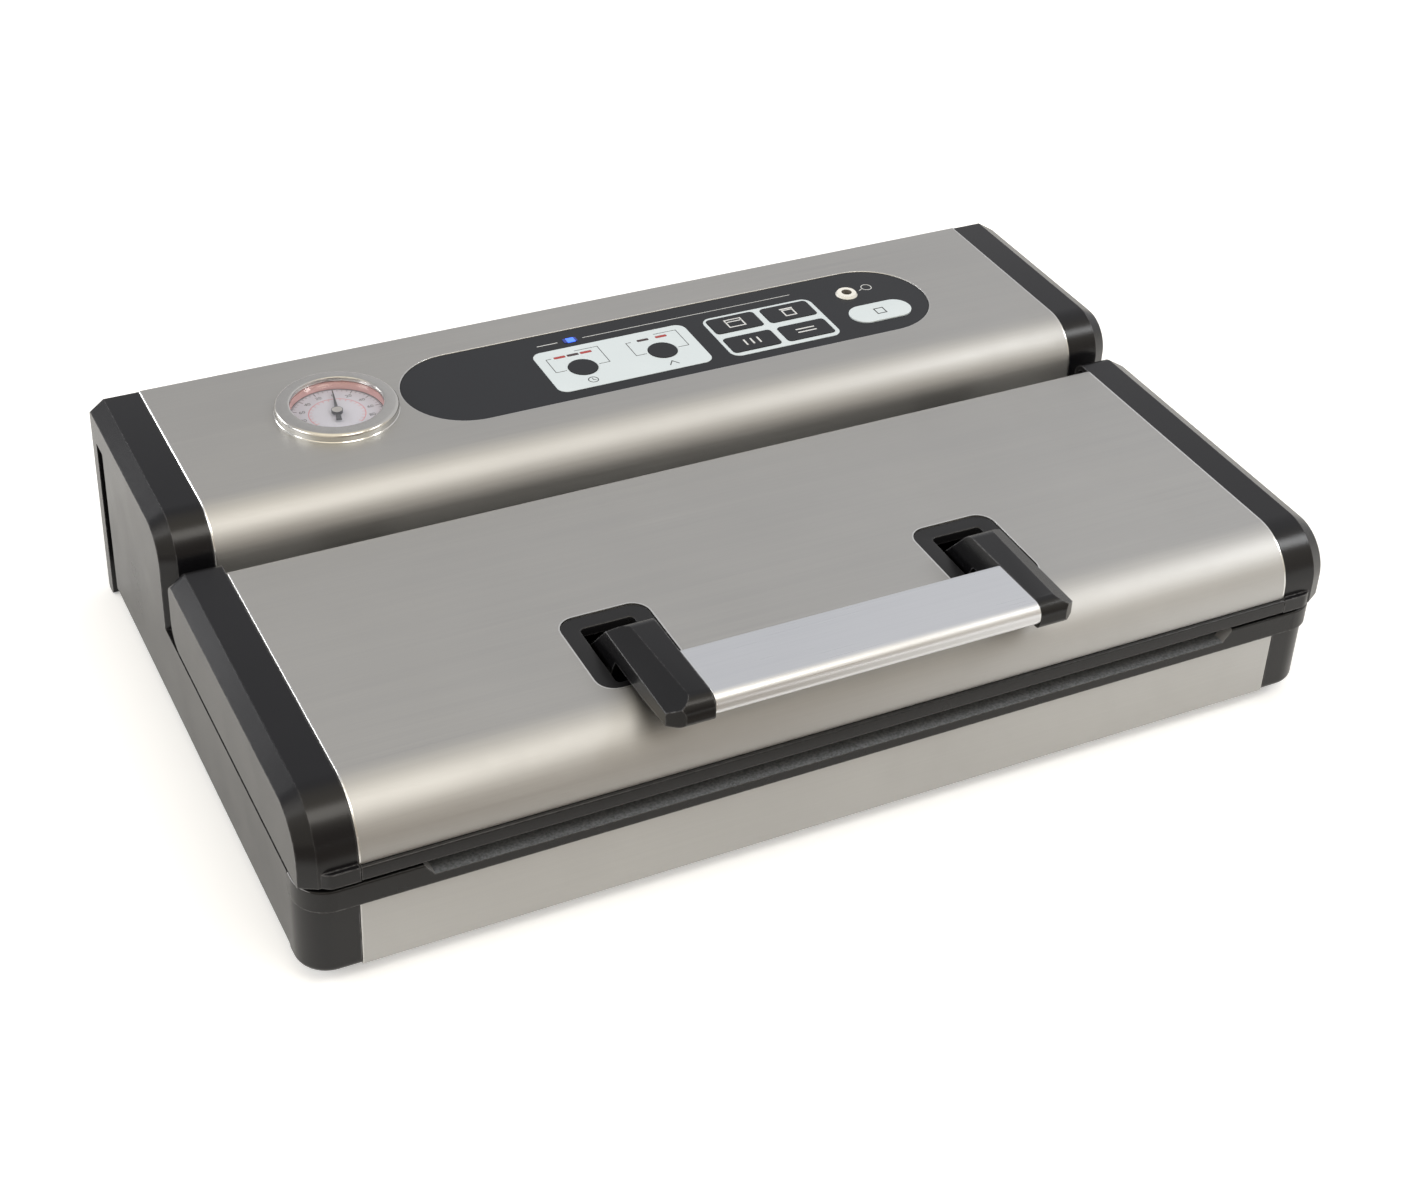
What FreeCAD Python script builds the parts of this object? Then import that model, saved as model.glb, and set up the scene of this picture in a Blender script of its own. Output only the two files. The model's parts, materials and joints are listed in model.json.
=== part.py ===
"""A countertop vacuum sealer: base with a raised rear housing, hinged lid and a locking handle.

Millimetres. While a piece is drawn, x runs left to right, y runs back from the face of the
front panel and z runs up from the lower edge of the front panel. save() moves every piece
to the part's own frame: origin under the middle of the whole object, on the table.
"""
import FreeCAD, Part
import math
import os

from FreeCAD import Vector

X_AXIS = Vector(1, 0, 0)
Y_AXIS = Vector(0, 1, 0)
Z_AXIS = Vector(0, 0, 1)

# Overall sizes
seal_half_length = 178.0    # half the seal bar, which sets the width of everything else
end_width = 23.0            # black end moulding beside the sheets, each side
body_depth = 293.0          # front panel's face to the back
housing_depth = 116.5       # front face of the rear housing to the back
handle_overhang = 15.0      # handle bar ahead of the front panel's face
foot_height = 7.0           # table to the front panel's lower edge
housing_top = 95.5          # top of the rear housing
lid_top = 81.3
lid_to_housing = 15.0       # rear edge of the lid's sheet to the housing
lid_front = -2.0            # front face of the lid's sheet
rim_top = 44.0              # top of the base's rim and sides

# Stock, walls and clearances
sheet = 0.8                 # stainless sheet
sheet_proud = 0.5           # sheet stands over the end mouldings
wall = 2.5                  # moulded walls
seat_gap = 0.2              # between fixed pieces that seat in each other
rest_gap = 0.3              # between soft faces that meet when the lid shuts
run_gap = 0.05              # radial, a pin in its bore
slide_gap = 0.25            # round a key and its stem

# Rear housing and end mouldings
housing_roll = 20.0
housing_back_flange = 9.0
cover_setback = 0.5         # back edge of the sheet to the back of the body
chamfer_width = 7.0         # outer edge chamfer of the end mouldings, along x
chamfer_drop = 4.0          # the same chamfer, down and back
back_chamfer = 2.0
side_lower_edge = 4.5
leg_depth = 9.5             # rear leg behind the open slot of each side
vent_slot_width = 10.5
vent_slot_top = 78.0
leg_clear = 0.5             # rear leg stops this far above the table
post_depth = 16.0           # front corner post, front to back
post_return = 2.0           # step from the post back to the side's lower edge
post_corner = 14.0          # its round corner, seen from above
post_foot_round = 3.5

# Front panel and rim
panel_height = 33.5
panel_flange = 9.0
rim_front = -2.0
rim_thick = 6.0
bag_floor = 38.3            # floor of the bag recess
bag_margin = 7.0            # recess beyond the seal bar, each end
bag_slant = 5.0             # slanted ends of the recess
deck_floor = 41.5           # upper face of the deck behind the seal bar
deck_thick = 3.5
bed_thick = 2.8             # plate under the bag recess and seal bar

# Lid
lid_roll = 24.0
lid_sheet_bottom = 53.8
lid_bottom = 47.0
lid_lip = 1.8               # black lip ahead of the sheet
lid_back_flange = 22.0      # sheet turned down behind
lid_back_round = 2.5
lid_cap_bottom = 46.0
lid_cap_overhang = 9.5      # end caps behind the sheet
lid_cap_heel = 10.0         # round lower rear corner of the lid's end caps
lid_cap_round = 6.0         # round upper rear corner
lid_hinge_behind = 1.5      # hinge pin behind the sheet's rear edge
lid_hinge_z = 72.0
hinge_pin_diameter = 5.0
hinge_knuckle_radius = 5.0
hinge_inset = 65.0          # hinge from the end of the sheet
hinge_knuckle_width = 17.0
hinge_ear_width = 5.0
hinge_side_gap = 0.3
hinge_notch = 2.2           # room round a hinge in the lid's rear flange

# Handle
arm_inner = 74.0            # inner face of each arm
arm_width = 19.0
arm_bevel_width = 10.0
arm_bevel_drop = 6.0
arm_top = 98.6
arm_hub_radius = 10.0
shaft_y = 52.0
shaft_z = 66.0
shaft_diameter = 8.0
shaft_past_hook = 5.0
bar_bottom = 88.5
bar_rear = 19.5
bar_wall = 2.0
bar_front_round = 5.0
bar_under_round = 4.0
bar_rear_round = 2.2
bar_fall = 0.8              # top of the bar, front to rear
tenon_length = 10.0
tenon_gap = 0.15
arm_under = 1.5             # arm's nose below the bar
arm_nose_round = 7.0
arm_nose_under_round = 3.0
arm_fall = 1.2              # top of the arm, front to rear
arm_crank = 9.0             # end of the flat top ahead of the shaft
arm_crank_round = 8.0
arm_clear = 3.0             # underside over the lid's sheet
arm_cut_past = 0.5          # cutting shapes past the arm's sides
arm_rise = 0.6              # the same, more at the front
arm_nose_cut = 7.0          # slanted front outer corner, along x
bezel_width = 40.0
bezel_front = 25.0
bezel_rear = 75.0
bezel_corner = 8.0
bezel_margin = 2.5          # flange under the sheet round its cut-out
bezel_edge_round = 0.6
bezel_opening_width = 24.0
bezel_opening_front = 29.0
bezel_opening_rear = 67.0
bezel_depth = 5.0
hook_inset = 12.0           # hook from the end of the sheet
hook_past_gasket = 7.0
hook_thick = 5.0
bearing_width = 5.0
bearing_room = 4.0          # round the shaft, and between a bearing and its neighbours
bearing_cover = 3.0         # over the shaft
bearing_foot = 14.0         # half its length on the lid's floor
bearing_middle = 30.0       # nearest bearing from the middle
hook_shank = 6.0
hook_nose = 4.0
hook_nose_height = 4.5
catch_thick = 2.0
catch_gap = 0.4             # hook nose to catch edge with the handle at rest
catch_room = 0.9            # nose below the catch plate
catch_border = 4.5          # plate round its slot
hook_swing = 22.0           # slot ahead of the shaft for the opening hook

# Sealing and vacuum
seal_front = 23.0
seal_depth = 11.0
seal_height = 5.0
strip_width = 4.0
strip_thick = 0.2
tape_thick = 0.15
gasket_margin = 11.0        # gasket beyond the bag recess, each end
gasket_front = 46.0
gasket_inset = 19.5         # rear of the gasket from the lid's rear edge
gasket_band = 8.0
gasket_corner = 14.0
gasket_stand = 3.8          # lower gasket above the deck
gasket_groove = 2.0
tray_inset_x = 16.0         # tray inside the gasket's outline, at its ends
tray_inset_y = 14.0         # the same, front and rear
tray_depth = 17.0
tray_flange = 4.0
tray_thick = 1.5
hose_outer = 8.0
hose_bore = 4.0
hose_bend = 8.0
tail_length = 5.0           # spigots that the hoses push over
tail_bore = 2.0

# Control panel on the rear housing
overlay_inset = 108.0       # left end of the film from the left end of the cover
overlay_right = 165.5
overlay_width = 60.0        # front to back
overlay_back = 2.0          # middle of the film behind the row of keys
controls_inset = 54.5       # middle of the controls from the back edge of the cover
overlay_sunk = 0.4          # film below the top of the sheet
overlay_carrier = 2.5       # guide plate under the film
overlay_lip = 3.0           # guide plate under the sheet round its cut-out
panel_film = 0.2
key_proud = 0.35            # keys above the film
key_travel = 0.4
setting_panel = (-39.0, 40.0, -20.7, 16.5)
mode_panel = (49.5, 108.5, -21.5, 16.0)
panel_corner = 5.0
round_key_diameter = 14.0
setting_key_x = (-20.3, 20.8)
setting_key_y = -3.0
mode_key_x = (64.2, 93.4)
mode_key_y = (7.2, -11.6)
mode_key_size = (25.5, 14.0)
mode_key_corner = 2.0
cancel_key_place = (136.0, -9.0)
cancel_key_size = (33.0, 16.0)
key_stem_diameter = 3.0
board_top = 87.6
board_thick = 1.6
switch_size = 6.0
switch_height = 3.6
port_place = (128.9, 12.5)
port_flange_diameter = 11.0
port_bore_diameter = 5.0
port_flange_height = 1.2
port_flange_lip = 1.5
port_length = 16.0
port_bore_depth = 13.0
ready_light_place = (-16.0, 22.5)
ready_light_size = (7.0, 4.0)
indicator_y = 9.3
indicator_size = (6.0, 2.0)
indicator_x = (-27.0, -20.3, -13.6, 16.0, 25.6)

# Vacuum gauge
gauge_inset = 77.0          # from the left end of the cover
gauge_place_y = 4.0         # from the middle of the controls
gauge_diameter = 56.5
gauge_ring_height = 5.0
gauge_ring_width = 4.2
gauge_lip = 2.9             # ring over the edge of the lens
gauge_lip_thick = 2.2
dial_recess = 2.5           # dial's face below the top of the housing
gauge_case_depth = 24.0
gauge_case_wall = 1.5
gauge_lens_thick = 1.2
needle_length = 17.5
needle_tail = 7.5
needle_thick = 0.5
needle_pin_diameter = 1.6
needle_hub_diameter = 5.2
needle_rest = -12.0         # degrees from twelve o'clock with no vacuum
dial_thick = 4.0
gauge_stem_diameter = 10.0
gauge_stem_length = 8.0

# Works inside the rear housing
plate_thick = 2.5
pump_x = 84.0
pump_axis_z = 42.0
pump_case = (40.0, 36.0, 40.0)
pump_case_below = 22.0      # crank case below its axis
pump_head_radius = 14.0
pump_head_length = 9.0      # each cylinder head beyond the crank case
pump_fin_radius = 16.5
pump_fins = 3
pump_fin_pitch = 3.0
pump_fin_thick = 1.4
bracket_margin = 16.0       # bracket's foot beyond the crank case
bracket_thick = 2.0
saddle_height = 4.0         # how far the saddle comes up round the motor
motor_diameter = 44.0
motor_length = 58.0
motor_boss_diameter = 16.0
motor_boss_length = 3.0
motor_shaft_diameter = 5.0
motor_shaft_depth = 18.0    # tail shaft inside the motor
fan_diameter = 46.0
fan_hub_diameter = 16.0
fan_hub_length = 9.0
fan_gap = 3.0               # motor's boss to the fan's hub
fan_blades = 7
fan_blade_width = 10.0
fan_blade_thick = 1.2
fan_blade_pitch = 35.0
transformer_inset = 35.0    # from the left end of the cover
transformer_size = (56.0, 48.0, 50.0)
transformer_core = 28.0     # stack of laminations, front to back
transformer_limb = 11.0
transformer_foot = 9.0
power_board_size = (96.0, 70.0)
power_board_x = -62.0
power_board_stand = 8.0
board_post_diameter = 6.0
board_post_inset = 5.0
capacitor = (16.0, 22.0)    # diameter and height
capacitor_place = (18.0, 14.0)
small_capacitor = (12.0, 16.0)
small_capacitor_place = (36.0, 14.0)
relay = (26.0, 16.0, 18.0)
relay_place = (10.0, 8.0)
choke = (20.0, 13.0, 14.0)
choke_place = (14.0, 9.0)
heat_sink = (26.0, 3.0, 22.0)
heat_sink_place = (10.0, 10.0)
valve_x = 24.0
valve_size = (26.0, 22.0, 30.0)
valve_yoke = 3.0
valve_coil_diameter = 15.8
manifold_size = (20.0, 16.0, 14.0)
vent_banks = (-52.0, 108.0)
vents_in_bank = 9
vent_pitch = 8.0
vent_width = 3.5
vent_heights = (22.0, 66.0)
inlet_inset = 65.0          # from the left end of the back panel
inlet_z = 30.0
inlet_size = (28.0, 20.0)
inlet_flange = 5.0
inlet_depth = 22.0
inlet_wall = 2.0
inlet_key = 4.0             # cut corners of the well
inlet_pins = ((-7.0, -1.0), (0.0, 3.0), (7.0, -1.0))
inlet_pin_size = (2.0, 4.0)
inlet_pin_setback = 5.0
screw_head_diameter = 6.5
screw_head_height = 1.6
screw_diameter = 3.0
screw_lug = 5.0             # half width of the lugs for the back panel's screws
panel_setback = 0.5         # back panel's face from the back of the body
panel_thick = 3.3

# Feet
foot_inset = 15.0           # from the end of the sheet
foot_front = 32.0
foot_back_inset = 35.0
foot_diameter = 22.0
foot_draft = 2.0
foot_stem_diameter = 6.0

# Worked out from the sizes above
bag_half_width = seal_half_length + bag_margin
gasket_half_width = bag_half_width + gasket_margin
hook_x = gasket_half_width + hook_past_gasket
half_sheet = hook_x + hook_inset
half_width = half_sheet + end_width
housing_front = body_depth - housing_depth
lid_rear = housing_front - lid_to_housing
lid_cap_rear = lid_rear + lid_cap_overhang
lid_hinge_y = lid_rear + lid_hinge_behind
hinge_x = half_sheet - hinge_inset
shaft_half_length = hook_x + shaft_past_hook
gasket_rear = lid_rear - gasket_inset
tray_half_width = gasket_half_width - tray_inset_x
tray_front = gasket_front + tray_inset_y
tray_rear = gasket_rear - tray_inset_y
leg_front = body_depth - leg_depth
vent_slot_front = leg_front - vent_slot_width
foot_x = half_sheet - foot_inset
foot_back = body_depth - foot_back_inset
transformer_x = transformer_inset - half_sheet
gauge_x = gauge_inset - half_sheet
inlet_x = inlet_inset - half_sheet
overlay_left = overlay_inset - half_sheet
front_y = (handle_overhang - body_depth) / 2
arm_outer = arm_inner + arm_width
arm_middle = arm_inner + arm_width / 2
cover_back = body_depth - cover_setback
controls_y = cover_back - controls_inset
overlay_front = controls_y + overlay_back - overlay_width / 2
overlay_rear = controls_y + overlay_back + overlay_width / 2
gauge_y = controls_y + gauge_place_y
pump_axis_y = controls_y
port_y = controls_y + port_place[1]
overlay_top = housing_top - overlay_sunk
overlay_bottom = housing_top - overlay_carrier
hinge_radius = hinge_pin_diameter / 2
shaft_radius = shaft_diameter / 2
seal_top = bag_floor + seal_height
gasket_top = deck_floor + gasket_stand
tray_flange_top = deck_floor + tray_thick
plate_top = side_lower_edge + plate_thick
post_back = post_depth + post_return
panel_back = body_depth - panel_setback
panel_front = panel_back - panel_thick
panel_seat = panel_front - seat_gap
port_top = overlay_top + port_flange_height
valve_top = plate_top + valve_size[2]
motor_front = pump_x + pump_case[0] / 2
motor_end = motor_front + motor_length
sides = {"left": -1, "right": 1}


def block(x, y, z):
    """A box between the two limits given for each axis."""
    low = Vector(x[0], y[0], z[0])
    return Part.makeBox(x[1] - x[0], y[1] - y[0], z[1] - z[0], low)


def rod(radius, start, direction, length):
    return Part.makeCylinder(radius, length, start, direction)


def corner_points(before, corner, after, radius):
    """Where an arc of this radius starts, turns and ends between two straight runs."""
    back = (before - corner).normalize()
    ahead = (after - corner).normalize()
    half = back.getAngle(ahead) / 2
    reach = radius / math.tan(half)
    middle = (back + ahead).normalize()
    centre = corner + middle * (radius / math.sin(half))
    return corner + back * reach, centre - middle * radius, corner + ahead * reach


def outline(corners, place):
    """A closed wire through corners (a, b) or (a, b, radius); place(a, b) gives the point."""
    points = [place(c[0], c[1]) for c in corners]
    radii = [c[2] if len(c) > 2 else 0 for c in corners]
    edges = []
    starts = []
    ends = []
    for i, corner in enumerate(points):
        if radii[i]:
            start, turn, end = corner_points(points[i - 1], corner, points[(i + 1) % len(points)], radii[i])
            edges.append(Part.Arc(start, turn, end).toShape())
        else:
            start, end = corner, corner
            edges.append(None)
        starts.append(start)
        ends.append(end)
    chain = []
    for i, arc in enumerate(edges):
        if arc:
            chain.append(arc)
        following = starts[(i + 1) % len(points)]
        if ends[i].distanceToPoint(following) > 1e-6:
            chain.append(Part.makeLine(ends[i], following))
    return Part.Wire(chain)


def across(corners, x):
    """A solid with its outline in the side view (y, z), from x[0] to x[1]."""
    wire = outline(corners, lambda a, b: Vector(x[0], a, b))
    return Part.Face(wire).extrude(X_AXIS * (x[1] - x[0]))


def upright(corners, z):
    """A solid with its outline seen from above (x, y), from z[0] to z[1]."""
    wire = outline(corners, lambda a, b: Vector(a, b, z[0]))
    return Part.Face(wire).extrude(Z_AXIS * (z[1] - z[0]))


def lengthwise(corners, y):
    """A solid with its outline in the front view (x, z), from y[0] to y[1]."""
    wire = outline(corners, lambda a, b: Vector(a, y[0], b))
    return Part.Face(wire).extrude(Y_AXIS * (y[1] - y[0]))


def rounded(x, y, radius):
    """Corners of a rounded rectangle between the limits of two axes."""
    return [(x[0], y[0], radius), (x[1], y[0], radius), (x[1], y[1], radius), (x[0], y[1], radius)]


def shifted(path, thickness):
    """An open path moved sideways, to its left, with its bends keeping their centres."""
    points = [Vector(p[0], p[1], 0) for p in path]
    runs = [(b - a).normalize() for a, b in zip(points, points[1:])]
    lefts = [Vector(-r.y, r.x, 0) for r in runs]
    moved = []
    for i, point in enumerate(points):
        if i == 0:
            place = point + lefts[0] * thickness
        elif i == len(points) - 1:
            place = point + lefts[-1] * thickness
        else:
            bisector = lefts[i - 1] + lefts[i]
            place = point + bisector * (thickness / (1 + lefts[i - 1].dot(lefts[i])))
        radius = path[i][2] if len(path[i]) > 2 else 0
        turns_left = 0 < i < len(points) - 1 and runs[i - 1].cross(runs[i]).z > 0
        if radius:
            radius += -thickness if turns_left else thickness
        moved.append((place.x, place.y, radius))
    return moved


def bent_sheet(path, x):
    """Sheet metal along a side-view path, its thickness to the left of the path."""
    return across(list(path) + shifted(path, sheet)[::-1], x)


def ring(outer, inner, z):
    return upright(outer, z).cut(upright(inner, (z[0] - 1, z[1] + 1)))


def mirrored(shape):
    return shape.mirror(Vector(0, 0, 0), X_AXIS)


def on_side(shape, side):
    """A piece drawn for the right end, or its mirror image for the left end."""
    return shape if sides[side] > 0 else mirrored(shape)


def tube_along(points, radius):
    """A round bar along straight runs joined by arcs."""
    edges = []
    last = points[0]
    for before, corner, after in zip(points, points[1:], points[2:]):
        start, turn, end = corner_points(before, corner, after, hose_bend)
        edges.append(Part.makeLine(last, start))
        edges.append(Part.Arc(start, turn, end).toShape())
        last = end
    edges.append(Part.makeLine(last, points[-1]))
    path = Part.Wire(edges)
    first = (points[1] - points[0]).normalize()
    circle = Part.Wire(Part.makeCircle(radius, points[0], first))
    return path.makePipeShell([circle], True, True)


def hose(points):
    outside = tube_along(points, hose_outer / 2)
    return outside.cut(tube_along(points, hose_bore / 2))


def save(name, *solids):
    """Write one piece, or a group of like pieces, in the part's own frame."""
    shape = solids[0] if len(solids) == 1 else Part.makeCompound(list(solids))
    shape = shape.copy()
    shape.translate(Vector(0, front_y, foot_height))
    shape.exportStep("parts/" + name + ".step")


# End mouldings of the base: front post, low side, rear housing end and rear leg in one

def side_outline(drop, back):
    """Side view of a base end moulding, its housing part drawn in by the chamfer."""
    top = housing_top - sheet_proud - drop
    front = housing_front + sheet_proud + drop
    rear = body_depth - back
    leg_bottom = leg_clear - foot_height
    return [
        (0, 0),
        (0, panel_height),
        (post_depth, panel_height),
        (post_depth, rim_top),
        (front, rim_top),
        (front, top, housing_roll - sheet_proud - drop),
        (rear, top, 2),
        (rear, leg_bottom, 2),
        (leg_front, leg_bottom, 2),
        (leg_front, vent_slot_top, 1),
        (vent_slot_front, vent_slot_top, 1),
        (vent_slot_front, side_lower_edge),
        (post_back, side_lower_edge, 1.5),
        (post_back, 0, 1.5),
    ]


def section(corners, x):
    return outline(corners, lambda a, b: Vector(x, a, b))


def side_panel():
    chamfer_start = half_width - chamfer_width
    full = side_outline(0, 0)
    sections = [
        section(full, half_sheet),
        section(full, chamfer_start),
        section(side_outline(chamfer_drop, back_chamfer), half_width),
    ]
    body = Part.makeLoft(sections, True, True)

    # Round front corner of the post, seen from above
    low_x = half_width - post_corner
    corner = block((low_x, half_width + 1), (-1, post_corner), (-1, rim_top))
    corner = corner.cut(rod(post_corner, Vector(low_x, post_corner, -2), Z_AXIS, rim_top + 4))
    body = body.cut(corner)

    # Lower edges of the post, rounded on its outer sides
    stub_x = (half_sheet - post_depth, half_width)
    stub = upright(
        [
            (stub_x[0], 0),
            (stub_x[1], 0, post_corner),
            (stub_x[1], 2 * post_depth),
            (stub_x[0], 2 * post_depth),
        ],
        (0, panel_height))
    outer_edges = [
        e for e in stub.Edges
        if e.BoundBox.ZMax < 0.01
        and (e.BoundBox.YMax < post_corner + 0.01 or e.BoundBox.XMin > half_width - 0.01)
    ]
    stub = stub.makeFillet(post_foot_round, outer_edges)
    around = block((half_sheet - 1, half_width + 1), (-1, post_back), (-1, post_foot_round + 1))
    body = body.cut(around.cut(stub))

    # Hollow behind the outer wall: low side open above for the deck, housing part closed
    inside = half_sheet - 1
    low_hollow = block(
        (inside, half_width - wall),
        (post_back + wall, housing_front + sheet_proud + wall),
        (side_lower_edge - 1, rim_top + 1),
    )
    bed_hollow = block(
        (inside, half_width - wall),
        (post_depth - 1, post_back + wall + 1),
        (bag_floor - bed_thick - seat_gap, rim_top + 1),
    )
    rear_hollow = block(
        (inside, half_width - wall),
        (housing_front, vent_slot_front - wall),
        (side_lower_edge - 1, rim_top - wall),
    )
    front_of_roll = housing_front + sheet_proud + wall + chamfer_drop
    top_of_roll = housing_top - sheet_proud - wall
    housing_hollow = across(
        [
            (front_of_roll, rim_top - wall - 1),
            (front_of_roll, top_of_roll, housing_roll - wall - chamfer_drop),
            (vent_slot_front - wall, top_of_roll),
            (vent_slot_front - wall, rim_top - wall - 1),
        ],
        (inside, chamfer_start),
    )
    for hollow in (low_hollow, bed_hollow, rear_hollow, housing_hollow):
        body = body.cut(hollow)

    # Lugs that take the back panel's screws
    for z in screw_heights():
        lug = block(
            (screw_x() - screw_lug, half_sheet + 1),
            (leg_front, panel_seat),
            (z - screw_lug, z + screw_lug),
        )
        hole = rod(screw_diameter / 2, Vector(screw_x(), leg_front - 1, z), Y_AXIS, leg_depth)
        body = body.fuse(lug).cut(hole)
    return body.removeSplitter()


def screw_x():
    return half_sheet - screw_head_diameter


def screw_heights():
    return (plate_top + 2 * screw_head_diameter, vent_slot_top - screw_head_diameter)


def front_panel():
    path = [
        (panel_flange, 0),
        (0, 0, 1.6),
        (0, panel_height - seat_gap),
    ]
    flat = bent_sheet(path[::-1], (-half_sheet + seat_gap, half_sheet - seat_gap))
    return flat


def base_plate():
    """Floor of the base with an upstand that backs the front panel."""
    reach = half_width - wall - seat_gap
    between = half_sheet - seat_gap
    z = (side_lower_edge, plate_top)
    stand_front = panel_flange + seat_gap
    floor = block((-reach, reach), (post_back + wall + seat_gap, vent_slot_front - wall - seat_gap), z)
    front = block((-between, between), (stand_front, post_back + wall + 1), z)
    back = block((-between, between), (vent_slot_front - wall - 1, panel_seat), z)
    stand_z = (side_lower_edge, bag_floor - bed_thick - seat_gap)
    stand = block((-between, between), (stand_front, stand_front + wall), stand_z)
    plate = floor.fuse([front, back, stand])
    for x, y in foot_places():
        plate = plate.cut(rod(foot_stem_diameter / 2, Vector(x, y, 0), Z_AXIS, plate_top + 1))
    return plate.removeSplitter()


def foot_places():
    return [(x, y) for x in (-foot_x, foot_x) for y in (foot_front, foot_back)]


def rubber_feet():
    feet = []
    for x, y in foot_places():
        low = Vector(x, y, -foot_height)
        height = foot_height + side_lower_edge
        body = Part.makeCone(foot_diameter / 2 - foot_draft, foot_diameter / 2, height, low, Z_AXIS)
        stem_radius = foot_stem_diameter / 2 - seat_gap
        stem = rod(stem_radius, Vector(x, y, side_lower_edge - 1), Z_AXIS, plate_thick + 1)
        feet.append(body.fuse(stem))
    return feet


# Deck: rim with the bag recess, seat of the seal bar, gasket groove and tray opening

def deck_back():
    return housing_front + 9.0


def seal_rear():
    return seal_front + seal_depth


def gasket_outline(inset):
    x = gasket_half_width - inset
    y = (gasket_front + inset, gasket_rear - inset)
    return rounded((-x, x), y, gasket_corner - inset)


def tray_outline(inset):
    x = tray_half_width - inset
    y = (tray_front + inset, tray_rear - inset)
    return rounded((-x, x), y, gasket_corner - tray_flange)


def hook_slot(margin):
    """Opening for a latch hook and its swing, right end, seen from above."""
    x = (hook_x - hook_thick / 2 - margin, hook_x + hook_thick / 2 + margin)
    y = (shaft_y - hook_swing, shaft_y + hook_nose + catch_gap)
    return x, y


def base_deck():
    inner_reach = half_width - wall - seat_gap
    main = block((-inner_reach, inner_reach), (seal_rear() + seat_gap, deck_back()),
                 (deck_floor - deck_thick, deck_floor))
    bed = block((-inner_reach, inner_reach), (rim_front + 1, seal_rear() + seat_gap + wall),
                (bag_floor - bed_thick, bag_floor))

    # Rim round the front corners, standing on the posts
    corner = post_corner
    plan = [
        (-half_width, rim_front, corner),
        (half_width, rim_front, corner),
        (half_width, post_depth - seat_gap),
        (-half_width, post_depth - seat_gap),
    ]
    rim = upright(plan, (panel_height + seat_gap, rim_top))
    rim_rear = rim_front + rim_thick
    upper = [e for e in rim.Edges if e.BoundBox.ZMin > rim_top - 0.01]
    rim = rim.makeFillet(1.0, [e for e in upper if e.BoundBox.YMin < post_depth - 1])
    inner = half_width - rim_thick
    hollow = block((-inner, inner), (rim_rear, post_depth + 1), (bag_floor, rim_top + 1))
    under_z = (panel_height - 1, bag_floor - bed_thick)
    under = block((-half_sheet, half_sheet), (rim_rear, post_depth + 1), under_z)
    rim = rim.cut(hollow).cut(under)

    # Low curbs between the rim and the deck, outside the bag's width
    curb_x = (bag_half_width + bag_slant, inner_reach)
    curb = block(curb_x, (rim_rear - 1, seal_rear() + seat_gap + 1), (bag_floor - 1, deck_floor))
    deck = main.fuse([bed, rim, curb, mirrored(curb)])
    # Nothing reaches past the round front corners
    outline_plan = plan[:2] + [(half_width, deck_back() + 1), (-half_width, deck_back() + 1)]
    deck = deck.common(upright(outline_plan, (0, rim_top + 1)))
    slot = [
        (-bag_half_width - bag_slant, rim_top + 1),
        (-bag_half_width, bag_floor),
        (bag_half_width, bag_floor),
        (bag_half_width + bag_slant, rim_top + 1),
    ]
    deck = deck.cut(lengthwise(slot, (rim_front - 1, rim_rear + 1)))

    groove = ring(gasket_outline(-seat_gap), gasket_outline(gasket_band + seat_gap),
                  (deck_floor - gasket_groove, deck_floor + 1))
    deck = deck.cut(groove)
    deck = deck.cut(upright(tray_outline(0), (0, deck_floor + 1)))
    for sign in sides.values():
        x, y = hook_slot(2.0)
        x = sorted(sign * v for v in x)
        # The hook's nose passes on below the catch plate
        deck = deck.cut(block(x, (y[0] - 1, y[1] + hook_nose + 3), (0, deck_floor + 1)))
    return deck.removeSplitter()


def latch_catch():
    """Steel plate over the deck's slot: the hook's nose goes under its rear edge."""
    x, y = hook_slot(1.0)
    plan_x = (gasket_half_width + 1, x[1] + catch_border)
    plan = rounded(plan_x, (y[0] - catch_border, y[1] + 2 * catch_border), 2)
    plate = upright(plan, (deck_floor, deck_floor + catch_thick))
    return plate.cut(block(x, y, (deck_floor - 1, deck_floor + catch_thick + 1)))


def seal_bar():
    low = bag_floor
    corners = [
        (seal_front, low),
        (seal_rear(), low),
        (seal_rear(), seal_top, 0.8),
        (seal_front, seal_top, 0.8),
    ]
    return across(corners, (-seal_half_length, seal_half_length))


def heating_strip():
    middle = seal_front + seal_depth / 2
    reach = seal_half_length - 3
    y = (middle - strip_width / 2, middle + strip_width / 2)
    return block((-reach, reach), y, (seal_top, seal_top + strip_thick))


def sealing_tape():
    """Coated tape over the heating strip, flat over the strip and down to the bar beside it."""
    edge = 1.0
    middle = seal_front + seal_depth / 2
    half = strip_width / 2
    top = seal_top + strip_thick + tape_thick
    side = seal_top + tape_thick
    corners = [
        (seal_front + edge, seal_top),
        (middle - half, seal_top),
        (middle - half, seal_top + strip_thick),
        (middle + half, seal_top + strip_thick),
        (middle + half, seal_top),
        (seal_rear() - edge, seal_top),
        (seal_rear() - edge, side),
        (middle + half + tape_thick, side),
        (middle + half + tape_thick, top),
        (middle - half - tape_thick, top),
        (middle - half - tape_thick, side),
        (seal_front + edge, side),
    ]
    return across(corners, (-seal_half_length, seal_half_length))


def hose_tail(shoulder, direction):
    """A spigot that a hose pushes over, standing on a shoulder."""
    return rod(hose_bore / 2 - seat_gap, shoulder - direction, direction, tail_length + 1)


def tray_port():
    """Middle of the tray's suction spout, on the tray's rear face."""
    return Vector(pump_x, tray_rear - seat_gap, deck_floor - tray_depth + hose_outer)


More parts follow.
